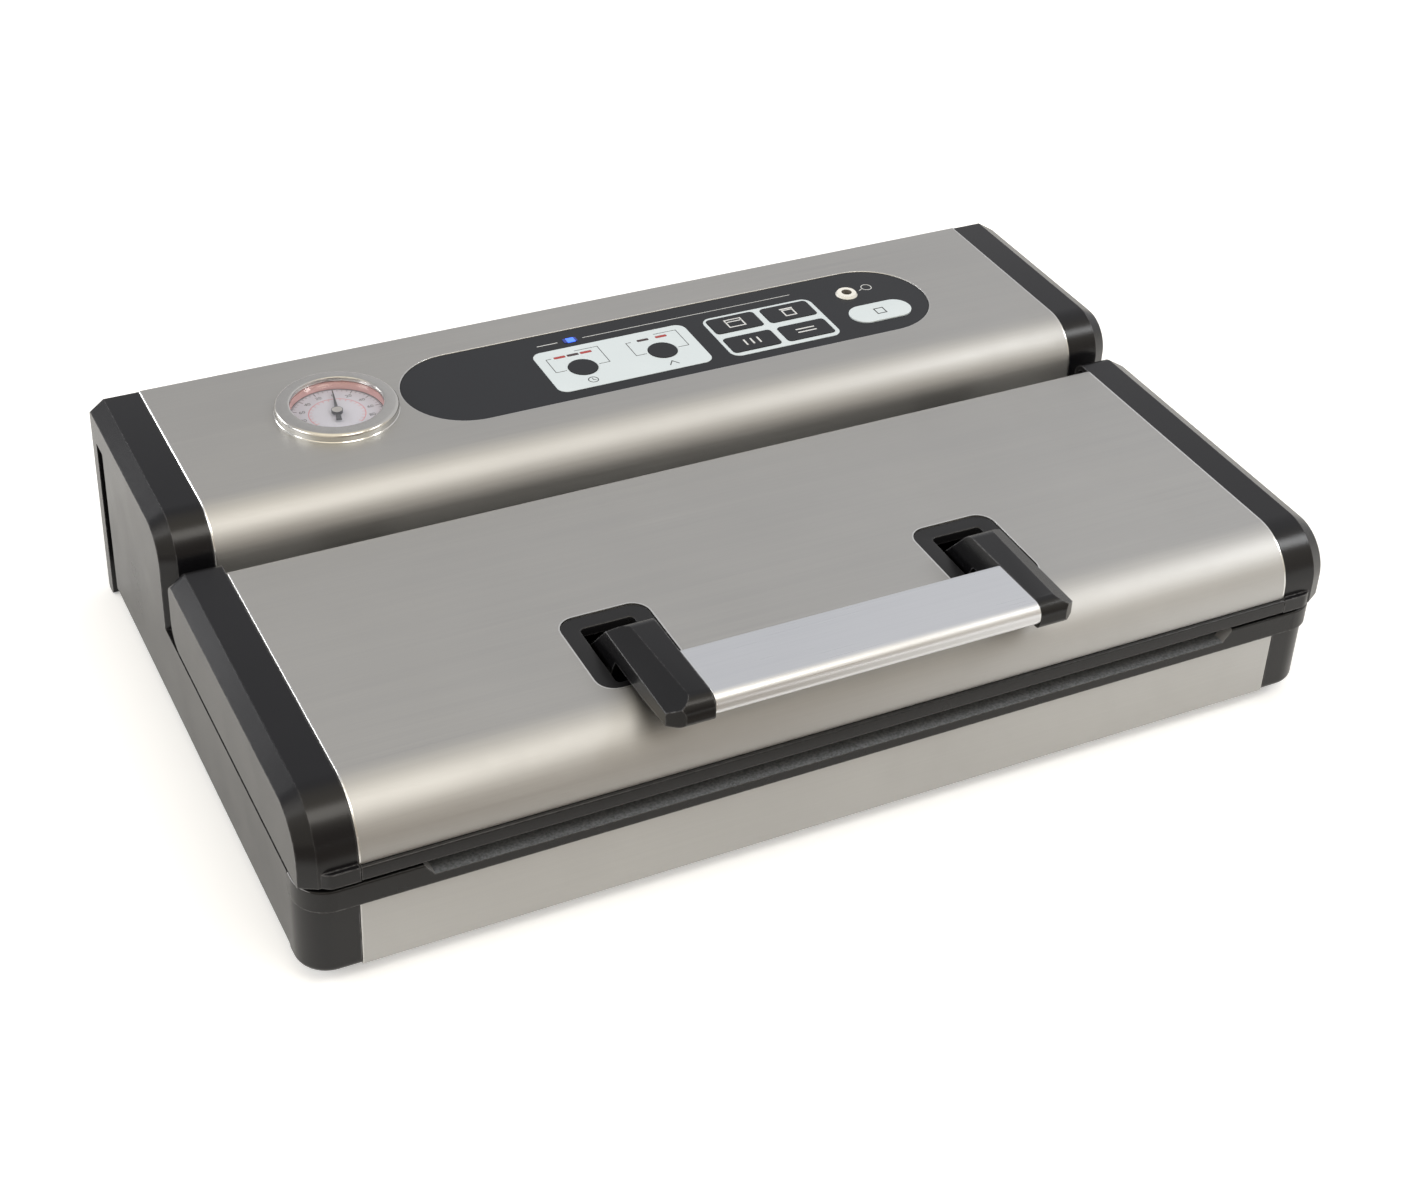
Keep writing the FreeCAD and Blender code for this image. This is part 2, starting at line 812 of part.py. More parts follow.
def vacuum_tray():
    outside = upright(tray_outline(seat_gap), (deck_floor - tray_depth, deck_floor))
    flange = upright(tray_outline(-tray_flange), (deck_floor, tray_flange_top))
    inside_z = (deck_floor - tray_depth + tray_thick, tray_flange_top + 1)
    inside = upright(tray_outline(seat_gap + tray_thick), inside_z)
    tray = outside.fuse(flange).cut(inside)
    bottom_edges = [e for e in tray.Edges if abs(e.BoundBox.ZMax - (deck_floor - tray_depth)) < 0.01]
    tray = tray.makeFillet(0.9 * tray_thick, bottom_edges)
    port = tray_port()
    tray = tray.fuse(hose_tail(port, Y_AXIS))
    bore = rod(tail_bore / 2, port - Y_AXIS * (tray_thick + 1), Y_AXIS, tray_thick + tail_length + 2)
    return tray.cut(bore).removeSplitter()


def lower_gasket():
    z = (deck_floor - gasket_groove, gasket_top)
    gasket = ring(gasket_outline(0), gasket_outline(gasket_band), z)
    crown = [e for e in gasket.Edges if e.BoundBox.ZMin > gasket_top - 0.01]
    return gasket.makeFillet(1.5, crown)


# Hinges

def hinge_bracket():
    """Two ears on a foot, drawn for the right hinge."""
    foot_front_edge = lid_hinge_y - hinge_knuckle_radius + 2
    foot_rear_edge = housing_front - 1.5
    half = hinge_knuckle_width / 2 + hinge_side_gap
    foot_x_limits = (hinge_x - half - hinge_ear_width, hinge_x + half + hinge_ear_width)
    bracket = block(foot_x_limits, (foot_front_edge, foot_rear_edge), (deck_floor, deck_floor + 2))
    hub = Vector(0, lid_hinge_y, lid_hinge_z)
    for low in (hinge_x - half - hinge_ear_width, hinge_x + half):
        ear = across(
            [
                (foot_front_edge, deck_floor),
                (foot_rear_edge, deck_floor),
                (lid_hinge_y + hinge_knuckle_radius, lid_hinge_z),
                (lid_hinge_y - hinge_knuckle_radius, lid_hinge_z),
            ],
            (low, low + hinge_ear_width),
        )
        ear = ear.fuse(rod(hinge_knuckle_radius, hub + X_AXIS * low, X_AXIS, hinge_ear_width))
        bracket = bracket.fuse(ear)
    start = hub + X_AXIS * (hinge_x - half - hinge_ear_width - 1)
    hole = rod(hinge_radius, start, X_AXIS, 2 * half + 2 * hinge_ear_width + 2)
    return bracket.cut(hole).removeSplitter()


def hinge_pin():
    half = hinge_knuckle_width / 2 + hinge_side_gap + hinge_ear_width + 1
    return rod(hinge_radius, Vector(hinge_x - half, lid_hinge_y, lid_hinge_z), X_AXIS, 2 * half)


# Rear housing

def housing_sheet_path():
    return [
        (cover_back, housing_top - housing_back_flange),
        (cover_back, housing_top, 1.6),
        (housing_front, housing_top, housing_roll),
        (housing_front, deck_floor + seat_gap),
    ]


def overlay_plan(inset):
    half = (overlay_rear - overlay_front) / 2 - inset
    x = (overlay_left + inset, overlay_right - inset)
    y = (overlay_front + inset, overlay_rear - inset)
    # A hair under the half height keeps the short straight between the two arcs
    return rounded(x, y, half - 0.01)


def rear_cover():
    cover = bent_sheet(housing_sheet_path(), (-half_sheet, half_sheet))
    cut_z = (housing_top - 2 * sheet, housing_top + 1)
    cover = cover.cut(upright(overlay_plan(0), cut_z))
    gauge_hole = gauge_diameter / 2 - gauge_ring_width + seat_gap
    return cover.cut(rod(gauge_hole, Vector(gauge_x, gauge_y, cut_z[0]), Z_AXIS, 4))


def key_shapes():
    """Each key's outline seen from above, as a function of a margin round it."""
    shapes = {}
    radius = round_key_diameter / 2
    for name, x in zip(("seal_time_key", "pressure_key"), setting_key_x):
        shapes[name] = (x, controls_y + setting_key_y, radius, radius, radius - 0.01)
    names = (("vacuum_seal_key", "canister_key"), ("pulse_key", "manual_seal_key"))
    for row, y in zip(names, mode_key_y):
        for name, x in zip(row, mode_key_x):
            half_x, half_y = mode_key_size[0] / 2, mode_key_size[1] / 2
            shapes[name] = (x, controls_y + y, half_x, half_y, mode_key_corner)
    x, y = cancel_key_place
    half_height = cancel_key_size[1] / 2
    shapes["cancel_key"] = (x, controls_y + y, cancel_key_size[0] / 2, half_height, half_height - 0.01)
    return shapes


def key_plan(shape, margin):
    x, y, half_x, half_y, corner = shape
    half_x += margin
    half_y += margin
    return rounded((x - half_x, x + half_x), (y - half_y, y + half_y), corner + margin)


def small_light(place, size, z):
    half_x = size[0] / 2
    half_y = size[1] / 2
    middle = controls_y + place[1]
    x = (place[0] - half_x, place[0] + half_x)
    return upright(rounded(x, (middle - half_y, middle + half_y), 0.6), z)


def indicator_places():
    return [(x, indicator_y) for x in indicator_x]


def cut_for_controls(plate, z):
    """Openings for the keys, lights and the canister port."""
    for shape in key_shapes().values():
        plate = plate.cut(upright(key_plan(shape, slide_gap), z))
    plate = plate.cut(small_light(ready_light_place, ready_light_size, z))
    for place in indicator_places():
        plate = plate.cut(small_light(place, indicator_size, z))
    tube = port_flange_diameter / 2 - port_flange_lip
    return plate.cut(rod(tube, Vector(port_place[0], port_y, z[0]), Z_AXIS, z[1] - z[0]))


def control_overlay():
    film = upright(overlay_plan(seat_gap), (overlay_bottom, overlay_top))
    carrier = upright(overlay_plan(-overlay_lip), (overlay_bottom, housing_top - sheet - seat_gap))
    return cut_for_controls(film.fuse(carrier), (overlay_bottom - 1, overlay_top + 1)).removeSplitter()


def key_panels():
    panels = []
    for left, right, front, rear in (setting_panel, mode_panel):
        plan = rounded((left, right), (controls_y + front, controls_y + rear), panel_corner)
        film = upright(plan, (overlay_top, overlay_top + panel_film))
        panels.append(cut_for_controls(film, (overlay_top - 1, overlay_top + 1)))
    return panels


def key(shape):
    top = overlay_top + panel_film + key_proud
    cap = upright(key_plan(shape, 0), (overlay_bottom + key_travel, top))
    crown = [e for e in cap.Edges if e.BoundBox.ZMin > top - 0.01]
    cap = cap.makeFillet(key_proud / 2, crown)
    # The stem stops short of the switch's floor by more than the travel
    low = board_top + switch_height / 2
    stem = rod(key_stem_diameter / 2, Vector(shape[0], shape[1], low), Z_AXIS, overlay_bottom + 1 - low)
    return cap.fuse(stem).removeSplitter()


def control_board():
    x = (setting_panel[0] - 6, overlay_right - 12)
    y = (overlay_front + 6, overlay_rear - 4)
    board = block(x, y, (board_top - board_thick, board_top))
    corners = [(a, b) for a in (x[0] + 4, x[1] - 4) for b in (y[0] + 4, y[1] - 2)]
    for a, b in corners:
        board = board.fuse(rod(2, Vector(a, b, board_top), Z_AXIS, overlay_bottom - board_top))
    port = Vector(port_place[0], port_y, 0)
    return board.cut(rod(port_flange_diameter / 2, port, Z_AXIS, housing_top))


def key_switches():
    switches = []
    half = switch_size / 2
    for x, y, *_ in key_shapes().values():
        body = block((x - half, x + half), (y - half, y + half), (board_top, board_top + switch_height))
        well = Vector(x, y, board_top + switch_height / 2 - key_travel - 0.1)
        switches.append(body.cut(rod(key_stem_diameter / 2 + slide_gap, well, Z_AXIS, switch_height)))
    return switches


def light_pipe(place, size):
    """A clear window in the film with its light pipe down to the board."""
    top = overlay_top + panel_film
    window = small_light(place, (size[0] - seat_gap, size[1] - seat_gap), (overlay_bottom, top))
    foot = Vector(place[0], controls_y + place[1], board_top)
    pipe = rod(min(size) / 2 - seat_gap, foot, Z_AXIS, overlay_bottom - board_top + 0.5)
    return window.fuse(pipe).removeSplitter()


def canister_port():
    """White socket for a canister's hose, with a hose tail below."""
    x, y = port_place[0], port_y
    outer = port_flange_diameter / 2
    shoulder = canister_shoulder()
    flange = Part.makeCone(outer, outer - 0.8, port_flange_height, Vector(x, y, overlay_top), Z_AXIS)
    tube = rod(outer - port_flange_lip - seat_gap, shoulder, Z_AXIS, port_length - 0.5)
    port = flange.fuse([tube, hose_tail(shoulder, -Z_AXIS)])
    socket = rod(port_bore_diameter / 2, Vector(x, y, port_top - port_bore_depth), Z_AXIS, port_length)
    passage = rod(tail_bore / 2, Vector(x, y, 0), Z_AXIS, housing_top)
    return port.cut(socket).cut(passage).removeSplitter()


def canister_shoulder():
    """Where the hose meets the underside of the canister port."""
    return Vector(port_place[0], port_y, port_top - port_length)


# Gauge

def turned(corners, x, y):
    """A ring or cup turned about an upright axis from (radius, z) corners."""
    wire = outline(corners, lambda a, b: Vector(a, 0, b))
    solid = Part.Face(wire).revolve(Vector(0, 0, 0), Z_AXIS, 360)
    solid.translate(Vector(x, y, 0))
    return solid


def gauge_bezel():
    outer = gauge_diameter / 2
    inner = outer - gauge_ring_width
    lip = inner - gauge_lip
    top = housing_top + gauge_ring_height
    return turned(
        [
            (inner, housing_top + 0.5),
            (outer, housing_top),
            (outer, top - 1.2, 1.6),
            (outer - 2.2, top, 1.6),
            (lip + 0.5, top - 0.4, 0.5),
            (lip, top - 1),
            (lip, lens_seat()),
            (inner, lens_seat()),
        ],
        gauge_x, gauge_y)


def lens_seat():
    return housing_top + gauge_ring_height - gauge_lip_thick


def gauge_case():
    outer = gauge_diameter / 2 - gauge_ring_width
    bottom = Vector(gauge_x, gauge_y, housing_top - gauge_case_depth)
    case = rod(outer, bottom, Z_AXIS, gauge_case_depth + 0.5)
    lower = [e for e in case.Edges if e.BoundBox.ZMax < bottom.z + 0.01]
    case = case.makeFillet(2.0, lower)
    seat = Vector(gauge_x, gauge_y, dial_face() - dial_thick)
    case = case.cut(rod(outer - gauge_case_wall, seat, Z_AXIS, gauge_case_depth))
    shoulder = gauge_shoulder()
    stem = rod(gauge_stem_diameter / 2, shoulder, Z_AXIS, gauge_stem_length + 1)
    return case.fuse([stem, hose_tail(shoulder, -Z_AXIS)]).removeSplitter()


def gauge_shoulder():
    """Where the hose meets the gauge's stem."""
    return Vector(gauge_x, gauge_y, housing_top - gauge_case_depth - gauge_stem_length)


def dial_face():
    return housing_top - dial_recess


def gauge_dial():
    radius = gauge_diameter / 2 - gauge_ring_width - gauge_case_wall - seat_gap
    plate = rod(radius, Vector(gauge_x, gauge_y, dial_face() - dial_thick), Z_AXIS, dial_thick)
    pin = needle_pin_diameter / 2 + run_gap
    return plate.cut(rod(pin, Vector(gauge_x, gauge_y, dial_face() - dial_thick + 1), Z_AXIS, dial_thick))


def gauge_lens():
    radius = gauge_diameter / 2 - gauge_ring_width - seat_gap
    low = lens_seat() - seat_gap - gauge_lens_thick
    return rod(radius, Vector(gauge_x, gauge_y, low), Z_AXIS, gauge_lens_thick)


def gauge_needle():
    """Pointer on its own spindle, turned to where it rests with no vacuum."""
    z = dial_face() + 1.2
    x, y = gauge_x, gauge_y
    blade = upright(
        [
            (x - 0.9, y),
            (x - 1.3, y - needle_tail),
            (x + 1.3, y - needle_tail),
            (x + 0.9, y),
            (x + 0.12, y + needle_length),
            (x - 0.12, y + needle_length),
        ],
        (z, z + needle_thick))
    hub = rod(needle_hub_diameter / 2, Vector(x, y, z - 0.3), Z_AXIS, needle_thick + 0.9)
    low = dial_face() - dial_thick + 1.2
    spindle = rod(needle_pin_diameter / 2, Vector(x, y, low), Z_AXIS, z - low)
    needle = blade.fuse([hub, spindle]).removeSplitter()
    needle.rotate(Vector(x, y, z), Z_AXIS, needle_rest)
    return needle


# Works inside the rear housing

def back_panel():
    z = (side_lower_edge, housing_top - sheet - seat_gap)
    y = (panel_front, panel_back)
    through = (y[0] - 1, y[1] + 1)
    reach = half_sheet - seat_gap
    panel = block((-reach, reach), y, z)
    # Upper edge tucked in behind the flange of the rear cover
    flange_z = (housing_top - housing_back_flange - seat_gap, housing_top)
    flange_y = (cover_back - sheet - seat_gap, through[1])
    panel = panel.cut(block((-half_sheet, half_sheet), flange_y, flange_z))
    for bank in vent_banks:
        for i in range(vents_in_bank):
            x = bank + vent_pitch * i
            vent = rounded((x, x + vent_width), vent_heights, 0.48 * vent_width)
            panel = panel.cut(lengthwise(vent, through))
    panel = panel.cut(lengthwise(inlet_outline(0), through))
    for x, height in screw_places():
        panel = panel.cut(rod(screw_diameter / 2 + seat_gap, Vector(x, y[0] - 1, height), Y_AXIS, 10))
        sink = Vector(x, screw_head_front(), height)
        panel = panel.cut(rod(screw_head_diameter / 2 + seat_gap, sink, Y_AXIS, 3))
    return panel


def screw_places():
    return [(x, z) for x in (-screw_x(), screw_x()) for z in screw_heights()]


def screw_head_front():
    return panel_back - screw_head_height - seat_gap


def housing_screws():
    screws = []
    for x, height in screw_places():
        seat = Vector(x, screw_head_front(), height)
        head = rod(screw_head_diameter / 2, seat, Y_AXIS, screw_head_height)
        tip = Vector(x, leg_front + 0.5, height)
        shank = rod(screw_diameter / 2, tip, Y_AXIS, screw_head_front() - tip.y)
        screws.append(head.fuse(shank))
    return screws


def inlet_outline(inset):
    """Rounded outline of the mains socket in the back view; a negative inset makes it larger."""
    half_x = inlet_size[0] / 2 - inset
    half_z = inlet_size[1] / 2 - inset
    return rounded((inlet_x - half_x, inlet_x + half_x), (inlet_z - half_z, inlet_z + half_z), 3)


def power_inlet():
    """Mains socket: flange on the back panel, body inside, three pins in the well."""
    y = (panel_seat - inlet_depth, panel_back)
    body = lengthwise(inlet_outline(seat_gap), y)
    flange = lengthwise(inlet_outline(-inlet_flange), (panel_seat - inlet_wall, panel_seat))
    half_x = inlet_size[0] / 2 - seat_gap - inlet_wall
    half_z = inlet_size[1] / 2 - seat_gap - inlet_wall
    well_front = y[0] + 3 * inlet_wall
    well = lengthwise(
        [
            (inlet_x - half_x, inlet_z - half_z, inlet_wall),
            (inlet_x + half_x, inlet_z - half_z, inlet_wall),
            (inlet_x + half_x, inlet_z + half_z - inlet_key),
            (inlet_x + half_x - inlet_key, inlet_z + half_z),
            (inlet_x - half_x + inlet_key, inlet_z + half_z),
            (inlet_x - half_x, inlet_z + half_z - inlet_key),
        ],
        (well_front, y[1] + 1))
    inlet = body.fuse(flange).cut(well)
    pin_x, pin_z = inlet_pin_size
    for dx, dz in inlet_pins:
        x = inlet_x + dx
        z = inlet_z + dz
        pin = block((x - pin_x / 2, x + pin_x / 2), (well_front - 1, y[1] - inlet_pin_setback),
                    (z - pin_z / 2, z + pin_z / 2))
        inlet = inlet.fuse(pin)
    return inlet.removeSplitter()


def pump_bracket():
    """Bent steel cradle that carries the pump and its motor."""
    case_x, case_y, case_z = pump_case
    x = (pump_x - case_x / 2 - bracket_thick, motor_end - 2 * bracket_thick)
    half = case_y / 2
    axis = Vector(motor_front, pump_axis_y, pump_axis_z)
    motor_low = pump_axis_z - motor_diameter / 2
    foot_y = (pump_axis_y - half - bracket_margin, pump_axis_y + half + bracket_margin)
    foot = block(x, foot_y, (plate_top, plate_top + bracket_thick))
    seat = block(x, (pump_axis_y - half, pump_axis_y + half), (plate_top, motor_low + saddle_height))
    window_y = (pump_axis_y - half + bracket_thick, pump_axis_y + half - bracket_thick)
    window = block((x[0] - 1, x[1] + 1), window_y, (plate_top + bracket_thick, motor_low - bracket_thick))
    saddle = rod(motor_diameter / 2 + seat_gap, axis, X_AXIS, motor_length)
    case_low = pump_axis_z - pump_case_below
    case_room = block((x[0] - 1, motor_front), foot_y, (case_low, case_low + case_z))
    return foot.fuse(seat.cut(window)).cut(saddle).cut(case_room).removeSplitter()


def pump_inlet():
    """Where the tray's hose meets the front cylinder head."""
    y = pump_axis_y - pump_case[1] / 2 - pump_head_length
    return Vector(pump_x, y, tray_port().z)


def pump_outlet():
    """Where the valve's hose meets the left face of the crank case."""
    return Vector(pump_x - pump_case[0] / 2, pump_axis_y, manifold_height())


def vacuum_pump():
    """Pump: crank case with two finned cylinder heads and two hose tails."""
    case_x, case_y, case_z = pump_case
    low = pump_axis_z - pump_case_below
    case = block((pump_x - case_x / 2, pump_x + case_x / 2),
                 (pump_axis_y - case_y / 2, pump_axis_y + case_y / 2), (low, low + case_z))
    pump = case.makeFillet(4, [e for e in case.Edges if abs(e.BoundBox.XLength - case_x) < 0.01])
    head_z = low + case_z / 2
    for direction in (-Y_AXIS, Y_AXIS):
        face = Vector(pump_x, pump_axis_y, head_z) + direction * (case_y / 2)
        pump = pump.fuse(rod(pump_head_radius, face - direction, direction, pump_head_length + 1))
        for i in range(pump_fins):
            fin = face + direction * (pump_fin_pitch * i + 0.5)
            pump = pump.fuse(rod(pump_fin_radius, fin, direction, pump_fin_thick))
    tails = [hose_tail(pump_inlet(), -Y_AXIS), hose_tail(pump_outlet(), -X_AXIS)]
    return pump.fuse(tails).removeSplitter()


def pump_motor():
    start = Vector(motor_front, pump_axis_y, pump_axis_z)
    can = rod(motor_diameter / 2, start, X_AXIS, motor_length)
    rims = [e for e in can.Edges if e.BoundBox.XLength < 0.01]
    can = can.makeFillet(2.5, rims)
    end = start + X_AXIS * motor_length
    boss = rod(motor_boss_diameter / 2, end - X_AXIS, X_AXIS, motor_boss_length + 1)
    bore_length = motor_shaft_depth + motor_boss_length + 2
    bore_start = end - X_AXIS * (motor_shaft_depth + 1)
    bore = rod(motor_shaft_diameter / 2 + run_gap, bore_start, X_AXIS, bore_length)
    return can.fuse(boss).cut(bore).removeSplitter()


def pump_fan():
    """Cooling fan on the motor's tail shaft."""
    hub_start = motor_end + motor_boss_length + fan_gap
    axis = Vector(motor_end - motor_shaft_depth, pump_axis_y, pump_axis_z)
    hub = rod(fan_hub_diameter / 2, Vector(hub_start, axis.y, axis.z), X_AXIS, fan_hub_length)
    shaft = rod(motor_shaft_diameter / 2, axis, X_AXIS, hub_start + fan_hub_length + 1 - axis.x)
    fan = hub.fuse(shaft)
    half = fan_blade_width / 2
    for i in range(fan_blades):
        blade = block((0, fan_blade_thick), (0, fan_diameter / 2), (-half, half))
        blade.rotate(Vector(0, 0, 0), Y_AXIS, fan_blade_pitch)
        blade.translate(Vector(hub_start + fan_hub_length / 2, axis.y, axis.z))
        blade.rotate(axis, X_AXIS, 360 * i / fan_blades)
        fan = fan.fuse(blade)
    return fan.removeSplitter()


def manifold_height():
    """Middle of the hose manifold on the release valve."""
    return valve_top + manifold_size[2] / 2


def release_valve():
    """Solenoid valve that lets air back in: yoke, coil and a manifold with three hose tails."""
    w, d, _ = valve_size
    x = (valve_x - w / 2, valve_x + w / 2)
    y = (pump_axis_y - d / 2, pump_axis_y + d / 2)
    inner = (plate_top + valve_yoke, valve_top - valve_yoke)
    yoke = block(x, y, (plate_top, valve_top))
    yoke = yoke.cut(block((x[0] - 1, x[1] + 1), (y[0] + valve_yoke, y[1] - valve_yoke), inner))
    coil_foot = Vector(valve_x, pump_axis_y, inner[0])
    coil = rod(valve_coil_diameter / 2, coil_foot, Z_AXIS, inner[1] - inner[0])
    half_x = manifold_size[0] / 2
    half_y = manifold_size[1] / 2
    manifold_top = valve_top + manifold_size[2]
    manifold = block((valve_x - half_x, valve_x + half_x), (pump_axis_y - half_y, pump_axis_y + half_y),
                     (valve_top, manifold_top))
    tails = [hose_tail(shoulder, direction) for shoulder, direction in manifold_ports()]
    return yoke.fuse([coil, manifold] + tails).removeSplitter()


def manifold_ports():
    """The manifold's gauge, pump and canister ports: place and outward direction."""
    middle = Vector(valve_x, pump_axis_y, manifold_height())
    out_x = X_AXIS * (manifold_size[0] / 2)
    out_z = Z_AXIS * (manifold_size[2] / 2)
    return (middle - out_x, -X_AXIS), (middle + out_x, X_AXIS), (middle + out_z, Z_AXIS)


def transformer():
    """Laminated core on two feet, with the winding showing in front and behind."""
    w, d, h = transformer_size
    x = (transformer_x - w / 2, transformer_x + w / 2)
    y = (pump_axis_y - d / 2, pump_axis_y + d / 2)
    foot_top = plate_top + bracket_thick
    z = (foot_top, foot_top + h)
    core_y = (pump_axis_y - transformer_core / 2, pump_axis_y + transformer_core / 2)
    core = block(x, core_y, z)
    limb = transformer_limb
    coil_z = (z[0] + limb, z[1] - limb)
    coil = block((x[0] + limb, x[1] - limb), y, coil_z)
    coil = coil.makeFillet(5, [e for e in coil.Edges if e.BoundBox.ZLength > coil_z[1] - coil_z[0] - 0.01])
    feet = block((x[0] - transformer_foot, x[1] + transformer_foot), core_y, (plate_top, foot_top))
    return core.fuse([coil, feet]).removeSplitter()


def power_board():
    """Board on four stand-offs with its capacitors, relay, coil and heat sink."""
    w, d = power_board_size
    x = (power_board_x - w / 2, power_board_x + w / 2)
    y = (pump_axis_y - d / 2, pump_axis_y + d / 2)
    low = plate_top + power_board_stand
    top = low + board_thick
    board = block(x, y, (low, top))
    for a in (x[0] + board_post_inset, x[1] - board_post_inset):
        for b in (y[0] + board_post_inset, y[1] - board_post_inset):
            foot = Vector(a, b, plate_top)
            board = board.fuse(rod(board_post_diameter / 2, foot, Z_AXIS, power_board_stand))
    parts = []
    for size, place in ((capacitor, capacitor_place), (small_capacitor, small_capacitor_place)):
        foot = Vector(x[0] + place[0], y[1] - place[1], top)
        parts.append(rod(size[0] / 2, foot, Z_AXIS, size[1]))
    relay_x = x[1] - relay_place[0] - relay[0]
    choke_x = x[1] - choke_place[0] - choke[0]
    choke_y = y[1] - choke_place[1] - choke[1]
    parts.append(Part.makeBox(*relay, Vector(relay_x, y[0] + relay_place[1], top)))
    parts.append(Part.makeBox(*choke, Vector(choke_x, choke_y, top)))
    sink_corner = Vector(x[0] + heat_sink_place[0], y[0] + heat_sink_place[1], top)
    parts.append(Part.makeBox(*heat_sink, sink_corner))
    return board.fuse(parts).removeSplitter()


def vacuum_hoses():
    """Silicone hoses: tray to pump, and gauge, pump and canister port to the valve's manifold."""
    gauge_port, pump_port, canister_valve = [place for place, _ in manifold_ports()]
    gap_x = X_AXIS * seat_gap
    gap_y = Y_AXIS * seat_gap
    gap_z = Z_AXIS * seat_gap
    gauge = gauge_shoulder()
    canister = canister_shoulder()
    run_height = canister.z - tail_length - hose_bend - 2 * seat_gap
    gauge_turn = Vector(gauge.x, gauge.y, gauge_port.z)
    over_canister = Vector(canister.x, canister.y, run_height)
    over_valve = Vector(canister_valve.x, canister_valve.y, run_height)
    return [
        hose([tray_port() + gap_y, pump_inlet() - gap_y]),
        hose([pump_port + gap_x, pump_outlet() - gap_x]),
        hose([gauge - gap_z, gauge_turn, gauge_port - gap_x]),
        hose([canister - gap_z, over_canister, over_valve, canister_valve + gap_z]),
    ]


# Lid

def lid_sheet_path():
    return [
        (lid_rear, lid_top - lid_back_flange),
        (lid_rear, lid_top, lid_back_round),
        (lid_front, lid_top, lid_roll),
        (lid_front, lid_sheet_bottom),
    ]


def bezel_plan(inset):
    half = bezel_width / 2 - inset
    x = (arm_middle - half, arm_middle + half)
    return rounded(x, (bezel_front + inset, bezel_rear - inset), bezel_corner - inset)


def bezel_opening(margin):
    half = bezel_opening_width / 2 + margin
    x = (arm_middle - half, arm_middle + half)
    return rounded(x, (bezel_opening_front - margin, bezel_opening_rear + margin), 2 + margin)


def lid_cover():
    cover = bent_sheet(lid_sheet_path(), (-half_sheet, half_sheet))
    hole = upright(bezel_plan(0), (lid_top - 4, lid_top + 1))
    half = hinge_knuckle_width / 2 + hinge_side_gap + hinge_ear_width + hinge_notch
    notch_top = lid_hinge_z + hinge_knuckle_radius + hinge_notch
    notch = block((hinge_x - half, hinge_x + half), (lid_rear - 4 * lid_back_round, lid_rear + 1),
                  (lid_top - lid_back_flange - 1, notch_top))
    for opening in (hole, notch):
        cover = cover.cut(opening).cut(mirrored(opening))
    return cover


def handle_bezel():
    """Black plate let into the sheet's cut-out, held by a flange below, open for the arm."""
    top = lid_top - sheet_proud
    low = lid_top - bezel_depth
    plate = upright(bezel_plan(seat_gap), (low, top))
    flange = upright(bezel_plan(-bezel_margin), (low, lid_top - sheet - seat_gap))
    bezel = plate.fuse(flange).cut(upright(bezel_opening(0), (0, lid_top + 1))).removeSplitter()
    reach = bezel_opening_width / 2 + 0.01
    mouth = [
        e for e in bezel.Edges
        if e.BoundBox.ZMin > top - 0.01
        and abs(e.BoundBox.Center.x - arm_middle) < reach
        and e.BoundBox.YMin > bezel_opening_front - 0.01
        and e.BoundBox.YMax < bezel_opening_rear + 0.01
    ]
    return bezel.makeFillet(bezel_edge_round, mouth)


def cap_outline(drop, back):
    """Side view of a lid end cap, drawn in by the chamfer."""
    front = lid_front + sheet_proud + drop
    top = lid_top - sheet_proud - drop
    rear = lid_cap_rear - back
    return [
        (front, lid_cap_bottom, 1.5),
        (front, top, lid_roll - sheet_proud - drop),
        (rear, top, lid_cap_round),
        (rear, lid_cap_bottom, lid_cap_heel),
    ]


def lid_end_cap():
    chamfer_start = half_width - chamfer_width
    full = cap_outline(0, 0)
    sections = [
        section(full, half_sheet),
        section(full, chamfer_start),
        section(cap_outline(chamfer_drop, back_chamfer), half_width),
    ]
    cap = Part.makeLoft(sections, True, True)
    front = lid_front + sheet_proud + wall
    hollow = across(
        [
            (front, lid_cap_bottom + wall),
            (front, lid_top - sheet_proud - wall, lid_roll - wall),
            (lid_cap_rear - wall, lid_top - sheet_proud - wall, lid_cap_round - wall),
            (lid_cap_rear - wall, lid_cap_bottom + wall, lid_cap_heel - wall),
        ],
        (half_sheet - 1, chamfer_start))
    cap = cap.cut(hollow)
    # The lid's front lip runs on round the corner and fades into the cap
    lip = upright(
        [
            (half_sheet, lid_front - lid_lip),
            (chamfer_start - 4, lid_front - lid_lip, 6),
            (chamfer_start + 2, lid_front + sheet_proud + wall),
            (half_sheet, lid_front + sheet_proud + wall),
        ],
        (lid_bottom, lid_sheet_bottom))
    return cap.fuse(lip).removeSplitter()


